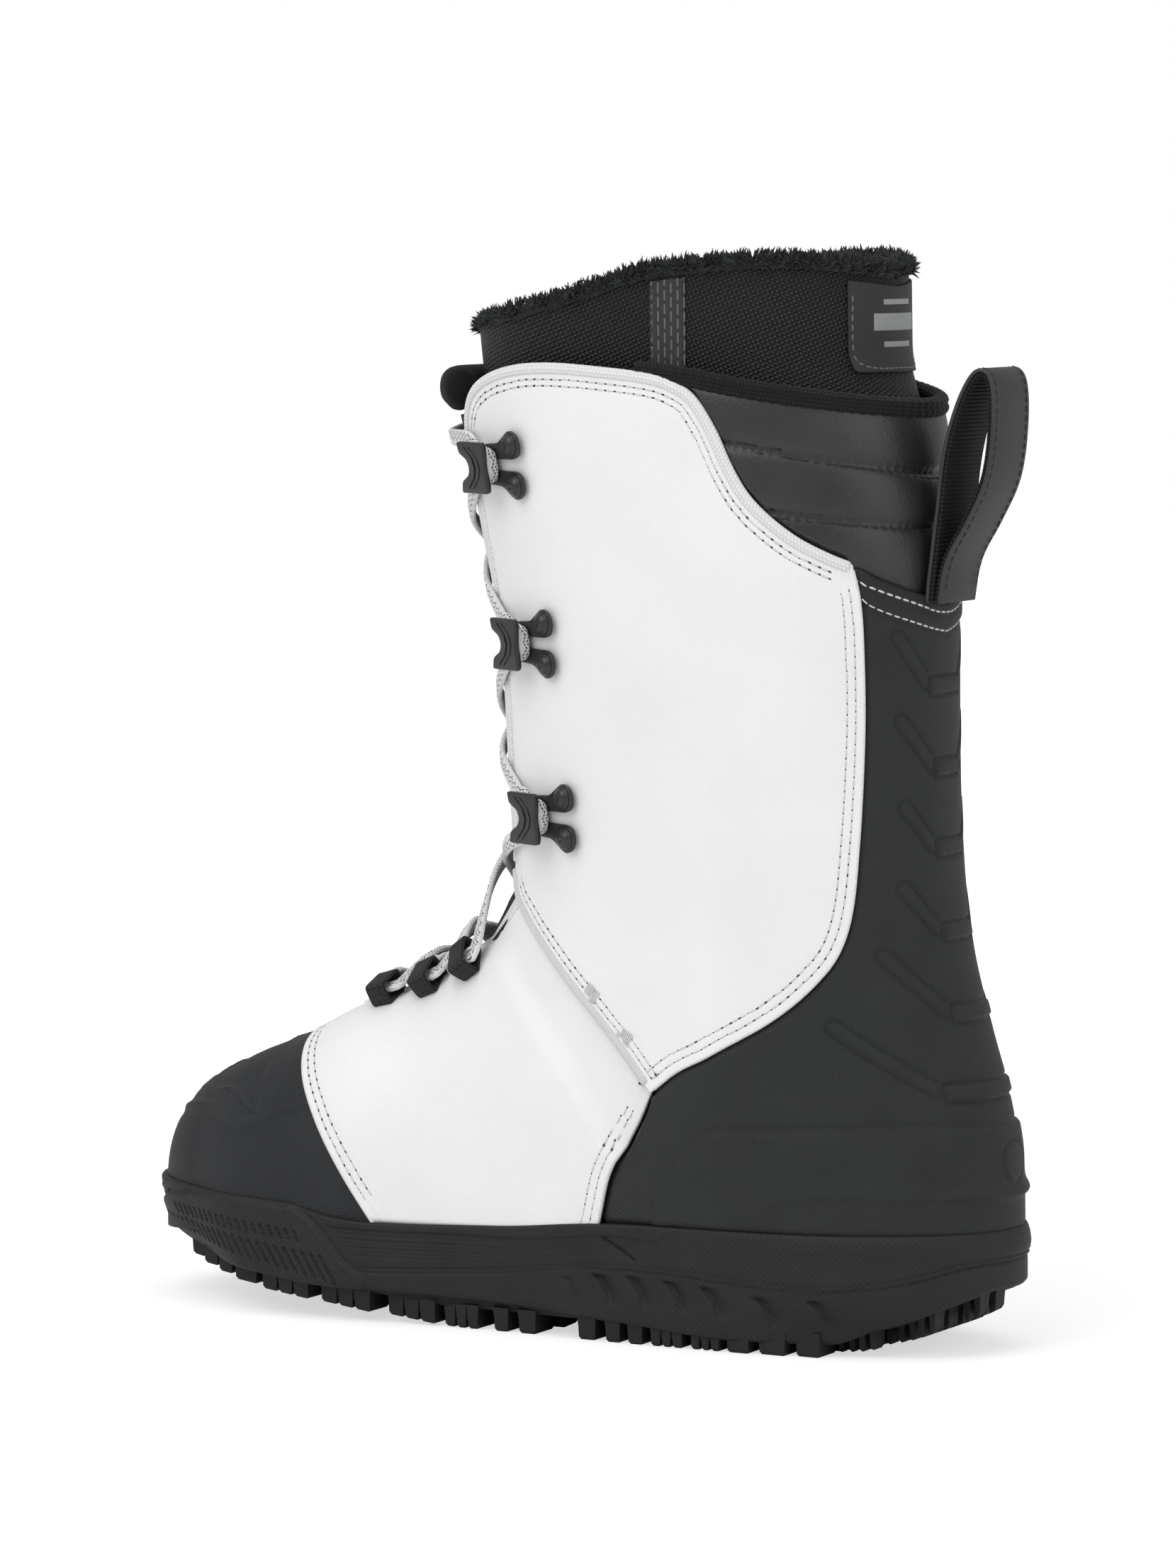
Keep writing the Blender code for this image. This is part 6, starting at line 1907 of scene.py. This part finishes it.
# ---------------------------------------------------------------- lace
def lace_route(side, strand):
    """Points along one half of the lace, from the middle of the lowest bar to the tagged end."""
    high, here, points = CROSS_HEIGHTS[strand], side, []
    for row in range(3):
        spot, out, run, middle = loop_seat(here, row)
        inside = [spot + (middle * a + run * r + out * LOOP_LACE_HEIGHT) * MM for a, r in THROUGH_LOOP]
        if row == 0:
            bar = inside[0] + (middle * 8 + run * 1.5) * MM
            start = np.array([bar[0] + 0.001, 0, bar[2] + 0.0012])
            points += [start + (0, here * y, 0) for y in (0.0, 0.0030)] + [bar]
        else:
            points.append(place(instep_fan, np.array([CROSS_TILTS[row - 1], 90.0]), high))
        points += inside
        here = -here
    for row in range(3):
        spot, out, front, up = seat(around, (here * HOOK_ANGLES[row], HOOK_HEIGHTS[row]))
        inside = [spot + (front * a + up * b + out * (LACE_HEIGHT - 3.0 * (max(a, 0) / 12) ** 2)) * MM
                  for a, b in ROUND_POST]
        if row == 0:
            points.append(place(instep_fan, np.array([CROSS_TILTS[2], 90.0]), high))
            points.append(place(around, np.array([here * OVER_EDGE[0], OVER_EDGE[1]]), OVER_EDGE[2]))
        else:
            start, stop = points[-1][2] / MM, inside[0][2] / MM
            for k, angle in enumerate(SHAFT_CROSSING):
                points.append(place(around, np.array([-here * angle, start + (stop - start) * (k + 1) / 4]),
                                    SHAFT_HEIGHTS[strand] if angle == 0 else 1.8))
        points += inside
        here = -here
    last = -here
    tail = [(last * 13, 284, 2.8 - 0.6 * strand), (last * 2 - 4, 286 - strand, 2.6 - 1.8 * strand)]
    tail += [(TAIL_ANGLES[strand], z, -0.4) for z in (276, 262, 248, 234, 220, 206, 194)]
    return np.array(points + [place(around, np.array([a, z], float), h) for a, z, h in tail])


OVER_EDGE = (18, 153.5, 2.2)    # where a strand clears the quarter's corner: degrees, height, depth
ROUND_HOOK = (6.5, 12.5)        # a lace stands on its edge this near a hook's post, and lies flat beyond


def round_hooks(line, out):
    """Turns the band against the hooks' posts where it goes round them; also says how much, from 0 to 1."""
    share = np.zeros((len(line), 1))
    for row in range(3):
        for sign in (1, -1):
            spot, up_off, _, _ = seat(around, (sign * HOOK_ANGLES[row], HOOK_HEIGHTS[row]))
            away = line - spot
            away = away - up_off * (away @ up_off)[:, None]
            reach = np.linalg.norm(away, axis=1, keepdims=True) / MM
            near = step_at(sum(ROUND_HOOK) / 2 - reach, ROUND_HOOK[1] - ROUND_HOOK[0])
            out = unit(out * (1 - near) + unit(away) * near)
            share = np.maximum(share, near)
    return out, share


def laces():
    for strand, side in enumerate((1, -1)):
        line = even(rounded(lace_route(side, strand), 14), 0.0009)
        ahead = unit(np.gradient(line, axis=0))
        out = unit(slope(settled(line)))
        flat_out = steadied(out, 6)
        out, share = round_hooks(line, flat_out)
        braid = band_profile(5.6, 2.0, 0.48, 6)[None] * np.stack([1 - 0.18 * share, 1 + 0 * share], -1)
        tip = line[-1] + ahead[-1] * np.linspace(0.0, 0.021, 16)[:, None]
        made = tube(f"lace_half_{strand + 1}_braid", line, out, braid, LACE, taper=1.0)
        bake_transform(made)
        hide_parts(f"lace_half_{strand + 1}")
        out = np.broadcast_to(flat_out[-1], tip.shape)
        aglet = tube(f"aglet_{strand + 1}_tip", tip, out, oval(3.2, 2.9, 16), TIP, taper=1.0)
        settle(aglet, "cuff", "black_plastic", f"aglet_{strand + 1}")


# ---------------------------------------------------------------- pull loop
PULL_PATH = ((-129.0, 234.5), (-129.6, 246), (-130.3, 262), (-132.6, 281), (-137.0, 296), (-142.6, 305.5),
             (-147.0, 303.5), (-147.9, 291), (-145.7, 274), (-139.6, 260), (-133.9, 248), (-131.9, 234.5))
PULL_WIDTH = 26
PULL_BOW = (2.2, 234, 268)      # how far its edges curve forward at its foot, and between which heights


def bowed(p):
    """The strap's foot follows the round back of the boot."""
    share = 1 - step_at(p[:, 2] / MM - (PULL_BOW[1] + PULL_BOW[2]) / 2, PULL_BOW[2] - PULL_BOW[1])
    forward = PULL_BOW[0] * MM * (p[:, 1] / MM / PULL_WIDTH * 2) ** 2 * share
    return p + np.stack([forward, 0 * share, 0 * share], -1)


def pull_loop():
    flat = even(rounded(PULL_PATH, 10) * MM, 0.0011)
    line = np.stack([flat[:, 0], 0 * flat[:, 0], flat[:, 1]], -1)
    ahead = unit(np.gradient(line, axis=0))
    out = np.stack([-ahead[:, 2], ahead[:, 1], ahead[:, 0]], -1)
    out *= -np.sign((out * (line.mean(0) - line)).sum())
    out = steadied(out, 3)
    for tag, shift, look, node in (("face", 0.62, STRAP_FACE, ["pull_loop"]), ("ribs", -0.62, GROSGRAIN, [])):
        band = band_profile(PULL_WIDTH - (tag == "ribs"), 1.2, 0.4, 5)
        made = tube(f"pull_loop_{tag}", line + out * shift * MM, out, band, look)
        move_points(made, bowed(points_of(made)))
        settle(made, "pull_loop", "webbing", *node)
    return line, out


STRAP_PITCH, STRAP_STITCH, STRAP_THREAD = 2.9, 2.1, 0.24


def pull_loop_stitches(line, out):
    """A row of stitches along each edge of the strap."""
    parts = []
    shape, faces = capsule(STRAP_STITCH, STRAP_THREAD)
    for side in (1, -1):
        edge = bowed(line + out * 1.3 * MM + np.array([0, side * (PULL_WIDTH / 2 - 2.2) * MM, 0]))
        measure = lengths(edge)
        for where in np.arange(STRAP_PITCH, measure[-1] / MM - STRAP_PITCH, STRAP_PITCH) * MM:
            half = STRAP_STITCH / 2 * MM
            middle, a, b = at(edge, [where, where - half, where + half], measure)
            normal = unit(at(out, [where], measure)[0])
            ahead = unit(b - a)
            parts.append((middle + shape @ np.stack([ahead, np.cross(normal, ahead), normal]) * MM, faces))
    settle(add_mesh("pull_loop_stitches", *joined(parts), BLACK_THREAD, weld=1e-9), "pull_loop", "webbing")


# ---------------------------------------------------------------- surroundings
def surroundings():
    world = bpy.data.worlds.new("studio")
    bpy.context.scene.world = world
    world.use_nodes = True
    tree = world.node_tree
    back = tree.nodes["Background"]
    back.inputs["Color"].default_value = (1, 1, 1, 1)
    back.inputs["Strength"].default_value = 0.55
    seen = tree.nodes.new("ShaderNodeBackground")
    seen.inputs["Color"].default_value = (1, 1, 1, 1)
    mix, path = tree.nodes.new("ShaderNodeMixShader"), tree.nodes.new("ShaderNodeLightPath")
    tree.links.new(path.outputs["Is Camera Ray"], mix.inputs["Fac"])
    tree.links.new(back.outputs["Background"], mix.inputs[1])
    tree.links.new(seen.outputs["Background"], mix.inputs[2])
    tree.links.new(mix.outputs["Shader"], tree.nodes["World Output"].inputs["Surface"])
    floor_look = Look("studio_floor", (0.92, 0.92, 0.92), 0.9, Specular_IOR_Level=0.0)
    paint = floor_look.tree
    lit, share = paint.nodes.new("ShaderNodeEmission"), paint.nodes.new("ShaderNodeMixShader")
    lit.inputs["Strength"].default_value = 1.35
    path = paint.nodes.new("ShaderNodeLightPath")
    reach = floor_look.add("VectorMath", 1, operation="LENGTH", Vector=floor_look.add("TexCoord", "Object"))
    glow = floor_look.spread(reach, 0.3, 0.75, 0.45, 1.0)
    paint.links.new(floor_look.math("MULTIPLY", path.outputs["Is Camera Ray"], glow), share.inputs["Fac"])
    paint.links.new(floor_look.shader.outputs[0], share.inputs[1])
    paint.links.new(lit.outputs[0], share.inputs[2])
    paint.links.new(share.outputs[0], paint.nodes["Material Output"].inputs["Surface"])
    bpy.ops.mesh.primitive_plane_add(size=8)
    floor = bpy.context.object
    floor.name = "floor"
    floor.data.materials.append(floor_look.material)


# ---------------------------------------------------------------- the whole boot
surroundings()
for sign, word in ((1, "medial"), (-1, "lateral")):
    vamp(sign, word)
    quarter(sign, word)
    for number in range(3):
        hook(sign, number, f"hook_{word}_{number + 1}")
        lace_loop(sign, number, f"lace_loop_{word}_{number + 1}")
toe_cap()
heel_piece()
sole_wall()
lugs()
laces()
strap = pull_loop()
rear_collar()
cuff_lining()
tongue()
tongue_roll()
liner_leg()
liner_toe()
fur()
sewn_on_liner()
patch_bars()
finish_threads()
pull_loop_stitches(*strap)
own_looks = {"shank": STEEL, "lasting_board": BOARD, "toe_puff": PLASTIC, "heel_counter": PLASTIC}
for name, look in own_looks.items():
    bpy.data.objects[name].data.materials[0] = look
